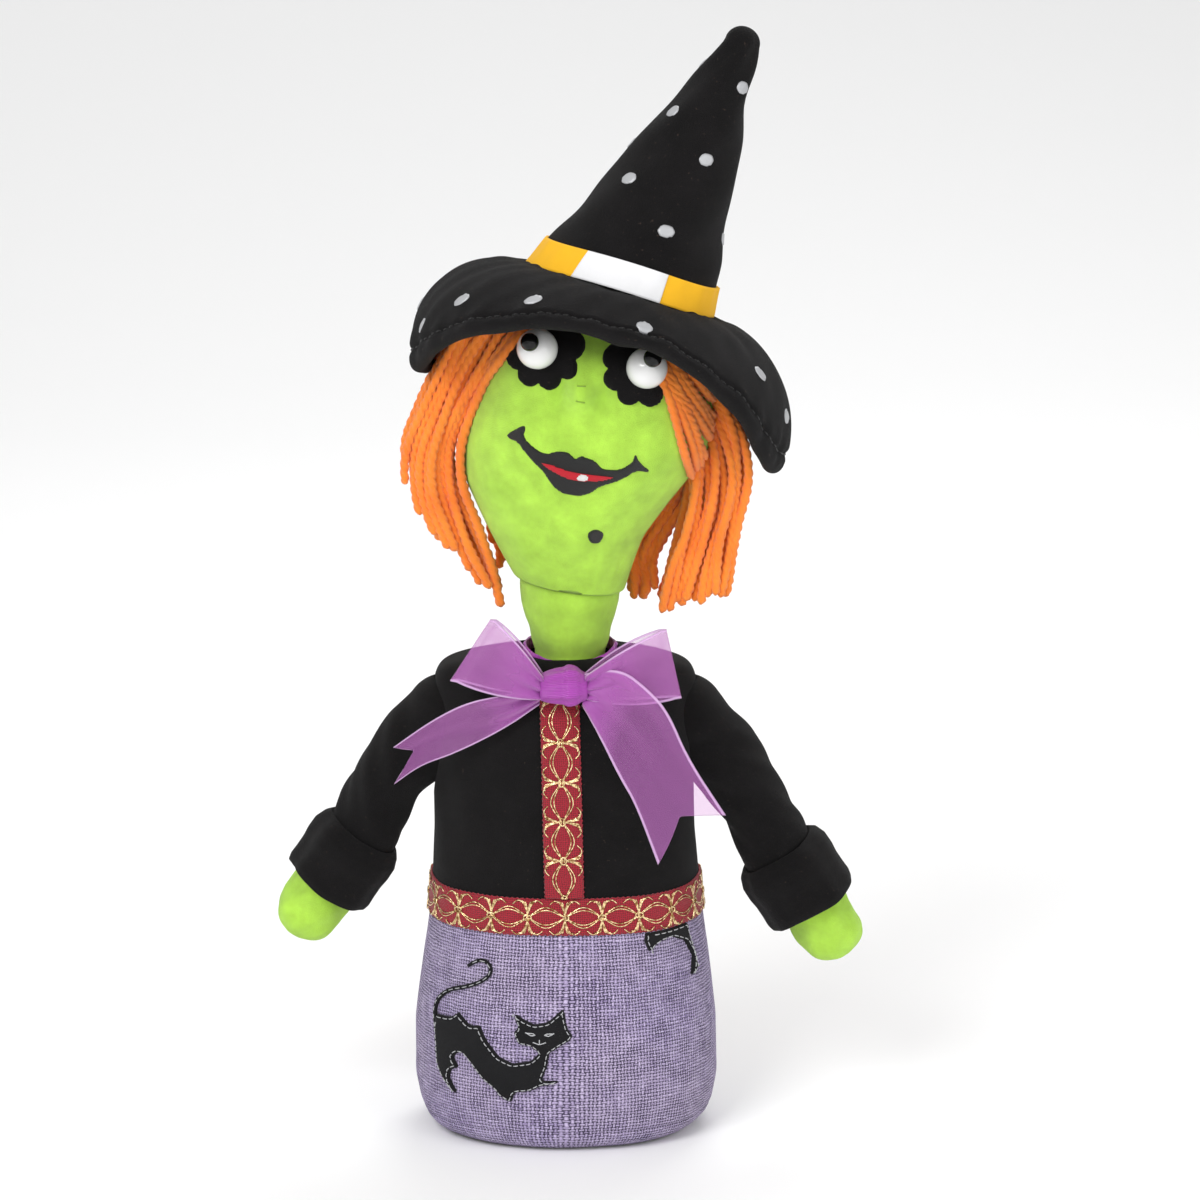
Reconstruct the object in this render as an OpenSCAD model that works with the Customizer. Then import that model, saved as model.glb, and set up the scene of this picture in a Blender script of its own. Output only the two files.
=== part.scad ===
// Witch hand puppet: a cloth glove with a stuffed head, yarn hair, a padded hat,
// hollow sleeves for thumb and finger, and an organza bow.
// Millimetres. The hem stands on z = 0, +Z is up and the face looks along -Y.
// Left and right are as seen from the front, so left is -X.

/* [Body] */
// Width across the skirt at its widest
skirt_width = 123; // [112:1:134]
// Depth of the skirt from front to back
skirt_depth = 93; // [86:1:102]
// Height of the waist seam above the hem
waist_height = 99; // [94:1:104]
// Height of the neck hole above the hem
body_height = 199; // [194:1:204]
// Thickness of the felt and burlap panels
cloth = 1.4; // [1:0.1:1.8]
// Width of the woven metallic braid
braid_width = 15; // [12:1:16]

/* [Neck and head] */
// Inner radius of the cardboard finger tube
finger_radius = 9.5; // [9:0.1:9.8]
// Height of the chin pivot above the hem
chin_height = 230; // [229:1:232]
// Width of the head across the cheeks
head_width = 97; // [92:1:100]
// Sideways lean of the head at rest, in degrees
head_lean = 8.5; // [5:0.5:10]
// Turn of the face towards the left at rest, in degrees
head_turn = 8; // [0:1:10]
// Diameter of the white eye beads
eye_bead = 16; // [14:0.5:17]

/* [Hat] */
// Radius of the hat's crown where it meets the brim
crown_radius = 38.5; // [37:0.5:40]
// Height of the crown along its own axis
crown_height = 112; // [100:1:116]
// Width of the brim at front and back, measured along the cloth
brim_front_width = 36; // [34:1:42]
// Width of the brim at the sides, measured along the cloth
brim_side_width = 71; // [66:1:74]
// Sideways lean of the hat on the head, in degrees
hat_lean = 7; // [6:0.5:8]

/* [Arms] */
// Angle of the hanging left arm from the vertical
left_arm_angle = 34; // [30:1:38]
// Angle of the hanging right arm from the vertical
right_arm_angle = 33; // [30:1:38]
// Length of the left arm from shoulder pivot to hand tip
left_arm_length = 112; // [108:1:118]
// Length of the right arm from shoulder pivot to hand tip
right_arm_length = 121; // [112:1:124]

/* [Bow] */
// Width of the organza ribbon
ribbon_width = 25; // [22:1:26]

/* [Hidden] */

$fn = 96;
air = 0.2;             // gap between neighbouring layers of cloth
swing_gap = 0.6;       // gap around a ball that turns in its socket
square_power = 0.87;   // below 1 squares the body's oval cross-section a little
panel_steps = 14;      // facets along one half of a body or head panel

// Body cross-sections: [share of the stretch's height, share of half width, share of half depth]
skirt_stations = [
    [0, 0.83, 0.84], [0.03, 0.90, 0.91], [0.09, 0.965, 0.965], [0.2, 1, 1],
    [0.45, 0.99, 0.99], [0.75, 0.935, 0.935], [1, 0.878, 0.88]
];
bodice_stations = [
    [0, 0.878, 0.88], [0.26, 0.854, 0.85], [0.51, 0.854, 0.806], [0.71, 0.862, 0.731],
    [0.83, 0.862, 0.624], [0.90, 0.85, 0.55], [0.945, 0.81, 0.50], [0.975, 0.69, 0.45],
    [0.99, 0.48, 0.41], [1, 0.29, 0.375]
];
// Head cross-sections above the chin pivot: [height, share of half width, share of half width, shift in X];
// the jaw hangs over to the left
head_stations = [
    [-2, 0.465, 0.435, 0], [8, 0.56, 0.54, -3], [20, 0.67, 0.64, -6], [35, 0.845, 0.742, -7],
    [50, 0.96, 0.815, -4], [62, 1, 0.845, -1], [75, 0.98, 0.845, 0], [88, 0.938, 0.835, 0],
    [98, 0.866, 0.784, 0], [106, 0.695, 0.55, 0], [112, 0.555, 0.475, 0], [117, 0.40, 0.36, 0], [120, 0.20, 0.18, 0]
];

hem_thickness = 1.2;
hem_depth = 7;          // how far the hem band reaches in under the skirt
neck_x = 2;             // the neck stands a little right of the body's middle
collar_height = 201;    // height of the nod pivot, in the middle of the neck ribbon
neck_base_radius = 13.6;
neck_top_radius = 19.9;
neck_ball_radius = 20;
tube_wall = 1.1;
tube_base = 183;
tube_length = 60;
shoulder = [48, 0, 172];
shoulder_ball = 16.5;
sleeve_radius = 15.3;
wrist_sleeve_radius = 13.5;
wrist_ball_radius = 12.5;
cuff_radius = 19.2;
cuff_length = 22;
arm_swings = [7, 0, -25, -50, -76]; // poses of the arm, down and up from rest, that the armhole clears
hand_length = 25;       // how far the hand shows past the cuff
sleeve_end_gap = 5;     // the sleeve stops this far above the wrist pivot
brim_left_turn = 127;   // degrees that the brim curls through at its left side
brim_right_turn = 104;   // at its right side
brim_front_turn = 46;   // and at front and back
brim_thickness = 6.5;
brim_inner_radius = crown_radius - 4;
hat_seat = [1.5, 0, 114.5]; // middle of the brim, from the chin pivot
hat_tip_back = 11;      // the hat is pushed back off the forehead
crown_lean = 10;       // the crown leans further over than the brim
crown_tip_radius = 6.5;

// ---------- shared geometry ----------

function oval(w, d, u) = [
    w * sign(cos(u)) * pow(abs(cos(u)), square_power),
    d * sign(sin(u)) * pow(abs(sin(u)), square_power)
];

// Stations in millimetres: [height, half width, half depth]
body_table = [
    for (s = skirt_stations)
        [hem_thickness + air + s[0] * (waist_height - hem_thickness - air),
         s[1] * skirt_width / 2, s[2] * skirt_depth / 2],
    for (i = [1 : len(bodice_stations) - 1]) let (s = bodice_stations[i])
        [waist_height + s[0] * (body_height - waist_height),
         s[1] * skirt_width / 2, s[2] * skirt_depth / 2]
];
head_table = [for (s = head_stations) [s[0], s[1] * head_width / 2, s[2] * head_width / 2, s[3]]];

function half_width(table, z) = lookup(z, [for (s = table) [s[0], s[1]]]);
function half_depth(table, z) = lookup(z, [for (s = table) [s[0], s[2]]]);
function shift(table, z) = len(table[0]) > 3 ? lookup(z, [for (s = table) [s[0], s[3]]]) : 0;
function heights(table, low, high) =
    concat([low], [for (s = table) if (s[0] > low + 0.5 && s[0] < high - 0.5) s[0]], [high]);

// A point of a surface of ovals at angle u and height z, moved outwards by offset
function skin_point(table, u, z, offset) =
    let (p = oval(half_width(table, z) + offset, half_depth(table, z) + offset, u)) [p[0] + shift(table, z), p[1], z];

// Depth of the front surface at x and height z
function front_of(table, x, z) =
    -half_depth(table, z) * pow(1 - pow(abs(x) / half_width(table, z), 2 / square_power), square_power / 2);

// Joins rings of equal, even length, listed counterclockwise from the lowest up, into one closed solid.
// With mirrored, the ring's second half is split along the other diagonals, so that the inside of a shell
// stays parallel to its outside.
module loft(rings, mirrored = false) {
    n = len(rings[0]);
    last = len(rings) - 1;
    sides = [
        for (i = [0 : last - 1], j = [0 : n - 1])
            let (a = i * n + j, b = i * n + (j + 1) % n)
                each (mirrored && j >= n / 2 ? [[a, a + n, b], [b, a + n, b + n]]
                                             : [[a, a + n, b + n], [a, b + n, b]])
    ];
    // Each end is closed by quads between the ring's two halves, which suits ovals and thin C shapes alike
    bottom = [for (j = [0 : n / 2 - 2]) [j, j + 1, n - 2 - j, n - 1 - j]];
    top = [for (f = bottom) [for (k = [3 : -1 : 0]) last * n + f[k]]];
    polyhedron([for (r = rings) each r], concat(sides, bottom, top), convexity = 6);
}

// A curved slab on a surface of ovals between two angles, with the offsets of its two faces
module slab(table, u0, u1, levels, inner, outer, steps) {
    loft([
        for (z = levels) concat(
            [for (i = [0 : steps]) skin_point(table, u0 + (u1 - u0) * i / steps, z, outer)],
            [for (i = [steps : -1 : 0]) skin_point(table, u0 + (u1 - u0) * i / steps, z, inner)]
        )
    ], true);
}

// The whole inside of a surface of ovals
module core(table, levels, offset) {
    count = 2 * panel_steps;
    loft([for (z = levels) [for (i = [0 : count - 1]) skin_point(table, 360 * i / count, z, offset)]]);
}

// A strip of cloth in an X-Z outline, pressed on to the front of a surface, on a slab whose facets lie over
// the panel's own: columns is how many panel steps it reaches to each side
module pressed(table, columns, z0, z1, inner, outer) {
    reach = columns * 180 / panel_steps;
    intersection() {
        slab(table, 270 - reach, 270 + reach, heights(table, z0, z1), inner, outer, 2 * columns);
        rotate([90, 0, 0]) linear_extrude(120) children();
    }
}

module at_head() {
    translate([neck_x, 0, chin_height]) rotate([0, head_lean, 0]) rotate([0, 0, -head_turn]) children();
}

module at_hat() {
    at_head() translate(hat_seat) rotate([-hat_tip_back, hat_lean, 0]) children();
}

// side is -1 for the left arm and 1 for the right; local +Z runs down the arm from the shoulder
module at_arm(side) {
    angle = side < 0 ? left_arm_angle : right_arm_angle;
    translate([side * shoulder[0], 0, shoulder[2]]) rotate([0, side * (180 - angle), 0]) children();
}

function wrist_reach(side) =
    (side < 0 ? left_arm_length : right_arm_length) - cuff_length - hand_length;

// ---------- glove body ----------

// Room in the bodice for the shoulder ball and for the sleeve all the way through its swing
module armhole(side) {
    at_arm(side) {
        sphere(shoulder_ball + swing_gap, $fn = 32);
        for (swing = arm_swings) rotate([0, side * swing, 0])
            cylinder(r = sleeve_radius + swing_gap, h = 46, $fn = 32);
    }
}

module panel_with_armholes(u0, levels, inner, outer) {
    difference() {
        slab(body_table, u0, u0 + 180, levels, inner, outer, panel_steps);
        armhole(-1);
        armhole(1);
    }
}

module hem_band() {
    color("mediumpurple") linear_extrude(hem_thickness) difference() {
        polygon([for (i = [0 : 47]) oval(0.83 * skirt_width / 2, 0.84 * skirt_depth / 2, 7.5 * i)]);
        polygon([for (i = [0 : 47])
            oval(0.83 * skirt_width / 2 - hem_depth, 0.84 * skirt_depth / 2 - hem_depth, 7.5 * i)]);
    }
}

skirt_levels = heights(body_table, hem_thickness + air, waist_height - air / 2);
bodice_levels = heights(body_table, waist_height + air / 2, body_height);

module skirt_front() {
    color("mediumpurple") slab(body_table, 180, 360, skirt_levels, -cloth, 0, panel_steps);
}

module skirt_back() {
    color("mediumpurple") slab(body_table, 0, 180, skirt_levels, -cloth, 0, panel_steps);
}

module bodice_front() {
    color("#1c1c1c") panel_with_armholes(180, bodice_levels, -cloth, 0);
}

module bodice_back() {
    color("#1c1c1c") panel_with_armholes(0, bodice_levels, -cloth, 0);
}

module glove_lining() {
    levels = heights(body_table, 6, 188);
    color("dimgray") difference() {
        core(body_table, levels, -cloth - 0.5);
        core(body_table, [5, for (z = levels) if (z > 6 && z < 188) z, 189], -cloth - 1.3);
        armhole(-1);
        armhole(1);
    }
}

braid_base = waist_height - braid_width / 2;

module waist_braid() {
    levels = heights(body_table, braid_base, braid_base + braid_width);
    color("firebrick") difference() {
        core(body_table, levels, 1.2);
        core(body_table, [levels[0] - 1, for (z = levels) if (z > levels[0] && z < braid_base + braid_width) z,
                          braid_base + braid_width + 1], air);
    }
}

module front_braid() {
    low = braid_base + braid_width + air;
    color("firebrick") pressed(body_table, 1, low, 184, air, 1.2)
        translate([-braid_width / 2, low]) square([braid_width, 184 - low]);
}

// A prowling cat: rump and curled tail at the left, head turned to the front at the right
module cat_outline() {
    offset(0.5) offset(-0.5) {
        polygon([                              // back, neck, body and belly
            [1, 27], [5, 29], [9, 28], [14, 24], [19, 24], [21, 18], [26, 11], [32, 9], [39, 9], [43, 13],
            [46, 12], [44, 6], [41, 1], [47, 1], [41, -1.5], [34, -4], [27, -3], [19, 2], [15, 7],
            [11, 12], [9, 11], [8, 8], [10, 5], [7, 4], [7, 0], [9.5, -6], [4, -1], [2, 7], [0, 18]
        ]);
        polygon([                              // head with two ears
            [31, 31], [37, 27], [45, 27], [51, 32], [52.5, 25], [55, 20], [52, 17], [46, 14.5], [38, 14], [34, 16], [32, 20]
        ]);
        polygon([[25, -2], [31, -3], [29.5, -9], [27, -8]]);
    }
    for (k = [0 : 9]) hull() {                 // the tail, up and curled over
        translate(tail_point(k)) circle(0.8, $fn = 10);
        translate(tail_point(k + 1)) circle(0.8, $fn = 10);
    }
}

function tail_point(k) = k < 5 ? [0.6 + 0.9 * pow(k, 1.9), 26 + 2.8 * k] :
    [18 + 5.5 * cos(-70 + 42 * (k - 5)), 44.5 + 5 * sin(-70 + 42 * (k - 5))];

module cat_applique() {
    color("#151515") pressed(body_table, 6, 15, 84, air, 1.2)
        translate([-53, 32]) cat_outline();
}

// The lower part of a second cat, cut off by the waist seam
module cat_applique_upper() {
    low = braid_base - 20;
    high = braid_base - air;
    color("#151515") pressed(body_table, 6, low, high, air, 1.2) translate([30, high])
        polygon([[0, 0], [1, -9], [3.5, -10], [4.5, -6], [13, -5], [18, -7], [20.5, -18], [22, -18.5],
                 [23.5, -15], [20, -3], [20, 0]]);
}

// ---------- neck and bow ----------

module neck_profile(inset) {
    rotate_extrude() polygon([
        [0, tube_base + 2], [neck_base_radius - inset, tube_base + 2],
        [neck_base_radius - inset, collar_height], [neck_top_radius - inset, chin_height - 8],
        [0, chin_height - 8]
    ]);
    translate([0, 0, chin_height]) sphere(neck_ball_radius - inset);
}

module neck_bore(radius) {
    translate([0, 0, tube_base - 5]) cylinder(r = radius, h = tube_length + 20);
}

module neck_skin() {
    color("yellowgreen") translate([neck_x, 0, 0]) difference() {
        neck_profile(0);
        neck_profile(1.1);
        neck_bore(finger_radius + tube_wall + 0.1);
    }
}

module neck_stuffing() {
    color("white") translate([neck_x, 0, 0]) difference() {
        intersection() {
            neck_profile(1.2);
            translate([0, 0, tube_base + 3]) cylinder(r = 30, h = 80);
        }
        neck_bore(finger_radius + tube_wall + 0.1);
    }
}

module finger_tube() {
    color("tan") translate([neck_x, 0, tube_base]) difference() {
        cylinder(r = finger_radius + tube_wall, h = tube_length);
        translate([0, 0, -1]) cylinder(r = finger_radius, h = tube_length + 2);
    }
}

ring_radius = 17.7;

module neck_ribbon() {
    color("orchid") translate([neck_x, 0, body_height + air]) difference() {
        cylinder(r = ring_radius + 1.2, h = 7.5);
        translate([0, 0, -1]) cylinder(r = ring_radius, h = 10);
    }
}

knot = [-1, -34.5, 190];

module bow_knot() {
    color("orchid") translate([knot[0] - 5, knot[1], knot[2]]) rotate([0, 90, 0]) cylinder(r = 7, h = 10);
}

// A flattened loop: two layers of ribbon that spread from the knot to a fold, which points up and out
module bow_loop(side) {
    reach = side < 0 ? 34 : 41;
    climb = side < 0 ? 34 : 24;
    color("orchid") translate([knot[0] + side * 8.6, knot[1], knot[2]]) rotate([0, -side * climb, 0]) loft([
        for (s = [[0, 4.5, 2.5], [0.35, 9, 3.5], [0.75, 13, 4], [1, 13.5, 1.2]])
            [for (i = [0 : 11]) let (p = [s[2] * cos(30 * i), s[1] * sin(30 * i)])
                [side * s[0] * reach, side * p[0] - 2 * s[0], p[1]]]
    ]);
}

// A ribbon end, swept through stations of [x, y, z, half width, tilt of its width in degrees]
module bow_tail(stations) {
    thickness = 0.9;
    color("orchid") loft([
        for (s = stations) let (across = [cos(s[4]), 0, sin(s[4])] * s[3])
            [[s[0], s[1], s[2]] + across, [s[0], s[1] + thickness, s[2]] + across,
             [s[0], s[1] + thickness, s[2]] - across, [s[0], s[1], s[2]] - across]
    ]);
}

tail_left = [[-7, -30.5, 186, 3, 100], [-23, -34, 181, 7.5, 80], [-45, -32, 172, 8.5, 88], [-65, -28, 159, 9.5, 92]];
tail_right = [[9, -30.5, 186, 4, 30], [20, -38, 181, 11, 25], [31, -42, 168, 13, 20], [45, -45, 141, 13, 28]];

module bow_loop_left() { bow_loop(-1); }
module bow_loop_right() { bow_loop(1); }
module bow_tail_left() { bow_tail(tail_left); }
module bow_tail_right() { bow_tail(tail_right); }

// ---------- head ----------

head_levels = [for (s = head_stations) s[0]];

module chin_socket() {
    sphere(neck_ball_radius + swing_gap + 1, $fn = 48);
}

module head_front() {
    color("yellowgreen") at_head() difference() {
        slab(head_table, 180, 360, head_levels, -cloth, 0, panel_steps);
        chin_socket();
    }
}

module head_back() {
    color("yellowgreen") at_head() difference() {
        slab(head_table, 0, 180, head_levels, -cloth, 0, panel_steps);
        chin_socket();
    }
}

pocket_depth = 50;      // the finger pocket's height above the chin pivot

module head_stuffing() {
    color("white") at_head() difference() {
        core(head_table, head_levels, -cloth - air);
        chin_socket();
        rotate([0, 0, head_turn]) rotate([0, -head_lean, 0])
            cylinder(r1 = 11, r2 = 13, h = pocket_depth);
        translate([0, 0, pocket_depth - 2]) sphere(10);
    }
}

eye_x = 20;
eye_z = 97;
patch_offset = 1.1;

module eye_patch(side) {
    lobes = 9;
    color("#1a1a1a") at_head() pressed(head_table, 5, eye_z - 18, min(eye_z + 18, 113), air, patch_offset)
        translate([side * eye_x, eye_z]) difference() {
            union() {
                circle(13, $fn = 40);
                for (i = [0 : lobes - 1]) rotate(360 * i / lobes + 10)
                    translate([12.2, 0]) circle(4.3, $fn = 16);
            }
            translate([-20, 12]) square([40, 10]);
        }
}

// Flat-backed beads: the white one stands on its felt patch and the black one on the white
module eye_bead(side) {
    y = front_of(head_table, eye_x, eye_z) - patch_offset - 5.2;
    color("white") at_head() translate([side * eye_x, y, eye_z])
        rotate([90, 0, side * 18]) difference() {
            sphere(eye_bead / 2);
            translate([-12, -12, -27.2]) cube(24);
        }
}

pupil_radius = 3.5;
pupil_rise = [[-2.3, 4], [2.4, 6]];   // [left, right]: how far the black bead sits off the eye's middle

module pupil_bead(side) {
    rise = pupil_rise[side < 0 ? 0 : 1];
    reach = eye_bead / 2 + pupil_radius - 1.5;
    y = front_of(head_table, eye_x, eye_z) - patch_offset - 5.2;
    depth = sqrt(reach * reach - rise[0] * rise[0] - rise[1] * rise[1]);
    color("black") at_head() translate([side * eye_x, y, eye_z]) difference() {
        translate([rise[0], -depth, rise[1]]) sphere(pupil_radius);
        sphere(eye_bead / 2 + 0.05);
    }
}

mouth_z = 54;

module mouth_shape() {
    difference() {
        translate([0, mouth_z + 17]) circle(29, $fn = 80);
        translate([0, mouth_z + 27]) circle(33, $fn = 80);
    }
}

module lip_shape() {
    difference() {
        translate([0, mouth_z + 21]) circle(29, $fn = 80);
        translate([0, mouth_z + 25]) circle(30.2, $fn = 80);
    }
}

module tooth_shape() {
    translate([0.5, mouth_z - 9]) square([5, 5]);
}

module on_face(outer) {
    at_head() pressed(head_table, 4, mouth_z - 16, mouth_z + 18, air, outer) children();
}

module mouth_embroidery() {
    color("#101010") on_face(0.8) difference() {
        mouth_shape();
        offset(0.1) lip_shape();
    }
}

module lip_embroidery() {
    color("crimson") on_face(0.8) difference() {
        intersection() {
            lip_shape();
            mouth_shape();
        }
        offset(0.1) tooth_shape();
    }
}

module tooth_embroidery() {
    color("white") on_face(1) intersection() {
        tooth_shape();
        lip_shape();
    }
}

module beauty_mark() {
    color("#101010") at_head() pressed(head_table, 3, 18, 30, air, 0.9)
        translate([10.5, 24.5]) circle(2.6, $fn = 20);
}

// ---------- hair ----------

// A bundle of yarn beside the face, swept down through stations of [x, y, z, half width, half depth]
module yarn_bundle(stations) {
    color("darkorange") loft([
        for (i = [len(stations) - 1 : -1 : 0]) let (s = stations[i])
            [for (k = [0 : 15]) [s[0] + s[3] * cos(22.5 * k), s[1] + s[4] * sin(22.5 * k), s[2]]]
    ]);
}

hair_left_stations = [
    [-49.5, 2, 98, 4, 9], [-55.5, 2, 80, 5.5, 12], [-60.5, 3, 50, 8, 13], [-60, 3, 35, 10.5, 13], [-55, 4, 20, 15, 13],
    [-42, 6, -8, 15, 12]
];
hair_right_stations = [
    [49.5, 2, 98, 3.5, 9], [53.7, 2, 80, 4.8, 12], [54.8, 3, 60, 4.6, 13], [57.5, 3, 44, 11, 13],
    [53.5, 4, 20, 18.5, 13], [44, 6, -11, 22, 12]
];

module hair_left() { at_head() yarn_bundle(hair_left_stations); }
module hair_right() { at_head() yarn_bundle(hair_right_stations); }

module hair_back() {
    step = 180 / panel_steps;
    color("darkorange") at_head() slab(head_table, 2 * step, 12 * step, heights(head_table, -2, 94), 0.8, 7, 10);
}

// ---------- hat ----------

// From the front and back value to the side value; the right side's droop stays nearer the side
function blend(side, front, u) = front + (side - front) * pow(abs(cos(u)), cos(u) < 0 ? 1.8 : 3.4);

// The brim's middle line at angle u: [distance out, height] a share t of the way to its edge,
// curling down along an arc, furthest at the left side
function brim_point(t, u) = let (
    width = blend(brim_side_width, brim_front_width, u),
    turn = blend(cos(u) < 0 ? brim_left_turn : brim_right_turn, brim_front_turn, u),
    bend_radius = width / (turn * PI / 180)
) [crown_radius + bend_radius * sin(turn * t), -bend_radius * (1 - cos(turn * t)), turn * t];

// A layer of the brim between two offsets from its middle surface
module brim_layer(low, high, edge_inset) {
    steps = 8;
    count = 32;
    function point(t, u, offset) = let (p = brim_point(t, u), r = p[0] + offset * sin(p[2]))
        [r * cos(u), r * sin(u), p[1] + offset * cos(p[2])];
    function ring(i, offset) = [
        for (k = [0 : count - 1]) let (u = 360 * k / count, t = (i - 1) / (steps - 1), back = 1 / (steps - 1))
            i == 0 ? [brim_inner_radius * cos(u), brim_inner_radius * sin(u), offset]
                   : i < steps ? point(t, u, offset)
                   : point(t, u, offset) * (1 - edge_inset) + point(t - back, u, offset) * edge_inset
    ];
    rings = concat([for (i = [0 : steps]) ring(i, low)], [for (i = [steps : -1 : 0]) ring(i, high)]);
    total = len(rings);
    polyhedron(
        [for (r = rings) each r],
        [for (i = [0 : total - 1], j = [0 : count - 1]) let (
            a = i * count + j, b = i * count + (j + 1) % count,
            c = ((i + 1) % total) * count + j, d = ((i + 1) % total) * count + (j + 1) % count
        ) each (i <= steps ? [[a, d, c], [a, b, d]] : [[a, b, c], [b, d, c]])],
        convexity = 6
    );
}

module hat_brim_top() {
    color("#202020") at_hat() brim_layer(brim_thickness / 2 - cloth, brim_thickness / 2, 0);
}

module hat_brim_under() {
    color("#202020") at_hat() brim_layer(-brim_thickness / 2, cloth - brim_thickness / 2, 0);
}

module hat_brim_wadding() {
    color("white") at_hat() brim_layer(cloth - brim_thickness / 2 + 3 * air, brim_thickness / 2 - cloth - 3 * air, 0.3);
}

crown_slope = (crown_radius - crown_tip_radius) / crown_height;
crown_foot = brim_thickness / 2 + air;

// The crown runs on below the brim, to be cut off level with it
module crown_solid(inset) {
    sunk = 12;
    rotate([hat_tip_back / 2, crown_lean, 0]) {
        translate([0, 0, -sunk]) cylinder(
            r1 = crown_radius + crown_slope * sunk - inset, r2 = crown_tip_radius - inset,
            h = crown_height + sunk
        );
        translate([0, 0, crown_height]) sphere(crown_tip_radius - inset);
    }
}

module hat_slice(low, high) {
    translate([0, 0, low]) cylinder(r = 90, h = high - low);
}

module hat_crown() {
    color("#202020") at_hat() intersection() {
        difference() {
            crown_solid(0);
            crown_solid(cloth);
        }
        hat_slice(crown_foot, crown_height + 20);
    }
}

module hat_stuffing() {
    color("white") at_hat() intersection() {
        crown_solid(cloth + air);
        hat_slice(crown_foot + 6, crown_height + 20);
    }
}

// A straight strip around the foot of the crown
module hat_band() {
    color("gold") at_hat() intersection() {
        difference() {
            crown_solid(-1.2);
            crown_solid(-air);
        }
        hat_slice(crown_foot, crown_foot + 11);
    }
}

// ---------- arms ----------

module arm_shape(side, inset) {
    sphere(shoulder_ball - inset);
    cylinder(r1 = sleeve_radius - inset, r2 = wrist_sleeve_radius - inset, h = wrist_reach(side) - sleeve_end_gap);
}

module sleeve(side) {
    color("#1c1c1c") difference() {
        at_arm(side) difference() {
            arm_shape(side, 0);
            arm_shape(side, cloth);
            translate([0, 0, wrist_reach(side) - sleeve_end_gap - 1]) cylinder(r = wrist_sleeve_radius - cloth, h = 3);
        }
        // The mouth that opens into the glove
        translate([side < 0 ? 4 - shoulder[0] : shoulder[0] - 34, -30, shoulder[2] - 30]) cube([30, 60, 60]);
    }
}

module cuff(side) {
    color("#1c1c1c") at_arm(side) translate([0, 0, wrist_reach(side)]) difference() {
        cylinder(r1 = cuff_radius, r2 = cuff_radius - 1, h = cuff_length);
        translate([0, 0, -1]) cylinder(r = cuff_radius - 1.7, h = cuff_length - 3);
        translate([0, 0, cuff_length - 5]) cylinder(r = wrist_ball_radius + 1.3, h = 10);
    }
}

module hand_shape(inset) {
    tip = cuff_length + hand_length - 11;
    sphere(wrist_ball_radius - inset);
    cylinder(r = wrist_ball_radius - inset, h = cuff_length);
    translate([0, 0, cuff_length])
        cylinder(r1 = wrist_ball_radius + 1 - inset, r2 = 11 - inset, h = tip - cuff_length);
    translate([0, 0, tip]) sphere(11 - inset);
}

module hand(side) {
    color("yellowgreen") at_arm(side) translate([0, 0, wrist_reach(side)]) difference() {
        hand_shape(0);
        hand_shape(1.1);
        translate([0, 0, -20]) cylinder(r = 7, h = 20);
    }
}

module hand_stuffing(side) {
    color("white") at_arm(side) translate([0, 0, wrist_reach(side)]) hand_shape(1.2);
}

module sleeve_left() { sleeve(-1); }
module cuff_left() { cuff(-1); }
module hand_left() { hand(-1); }
module hand_stuffing_left() { hand_stuffing(-1); }
module sleeve_right() { sleeve(1); }
module cuff_right() { cuff(1); }
module hand_right() { hand(1); }
module hand_stuffing_right() { hand_stuffing(1); }
module eye_patch_left() { eye_patch(-1); }
module eye_patch_right() { eye_patch(1); }
module eye_bead_left() { eye_bead(-1); }
module eye_bead_right() { eye_bead(1); }
module pupil_bead_left() { pupil_bead(-1); }
module pupil_bead_right() { pupil_bead(1); }

hem_band();
skirt_front();
skirt_back();
bodice_front();
bodice_back();
glove_lining();
waist_braid();
front_braid();
cat_applique();
cat_applique_upper();
neck_ribbon();
bow_knot();
bow_loop_left();
bow_loop_right();
bow_tail_left();
bow_tail_right();
neck_skin();
neck_stuffing();
finger_tube();
head_front();
head_back();
head_stuffing();
eye_patch_left();
eye_patch_right();
eye_bead_left();
eye_bead_right();
pupil_bead_left();
pupil_bead_right();
mouth_embroidery();
lip_embroidery();
tooth_embroidery();
beauty_mark();
hair_left();
hair_right();
hair_back();
hat_crown();
hat_stuffing();
hat_brim_top();
hat_brim_under();
hat_brim_wadding();
hat_band();
sleeve_left();
cuff_left();
hand_left();
hand_stuffing_left();
sleeve_right();
cuff_right();
hand_right();
hand_stuffing_right();
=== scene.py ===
"""Witch hand puppet: a cloth glove body with sewn-on trims, a stuffed velour head, pointed hat, yarn hair and bow."""
import math

import bpy
import numpy as np
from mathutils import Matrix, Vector
from mathutils.geometry import delaunay_2d_cdt


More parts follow.
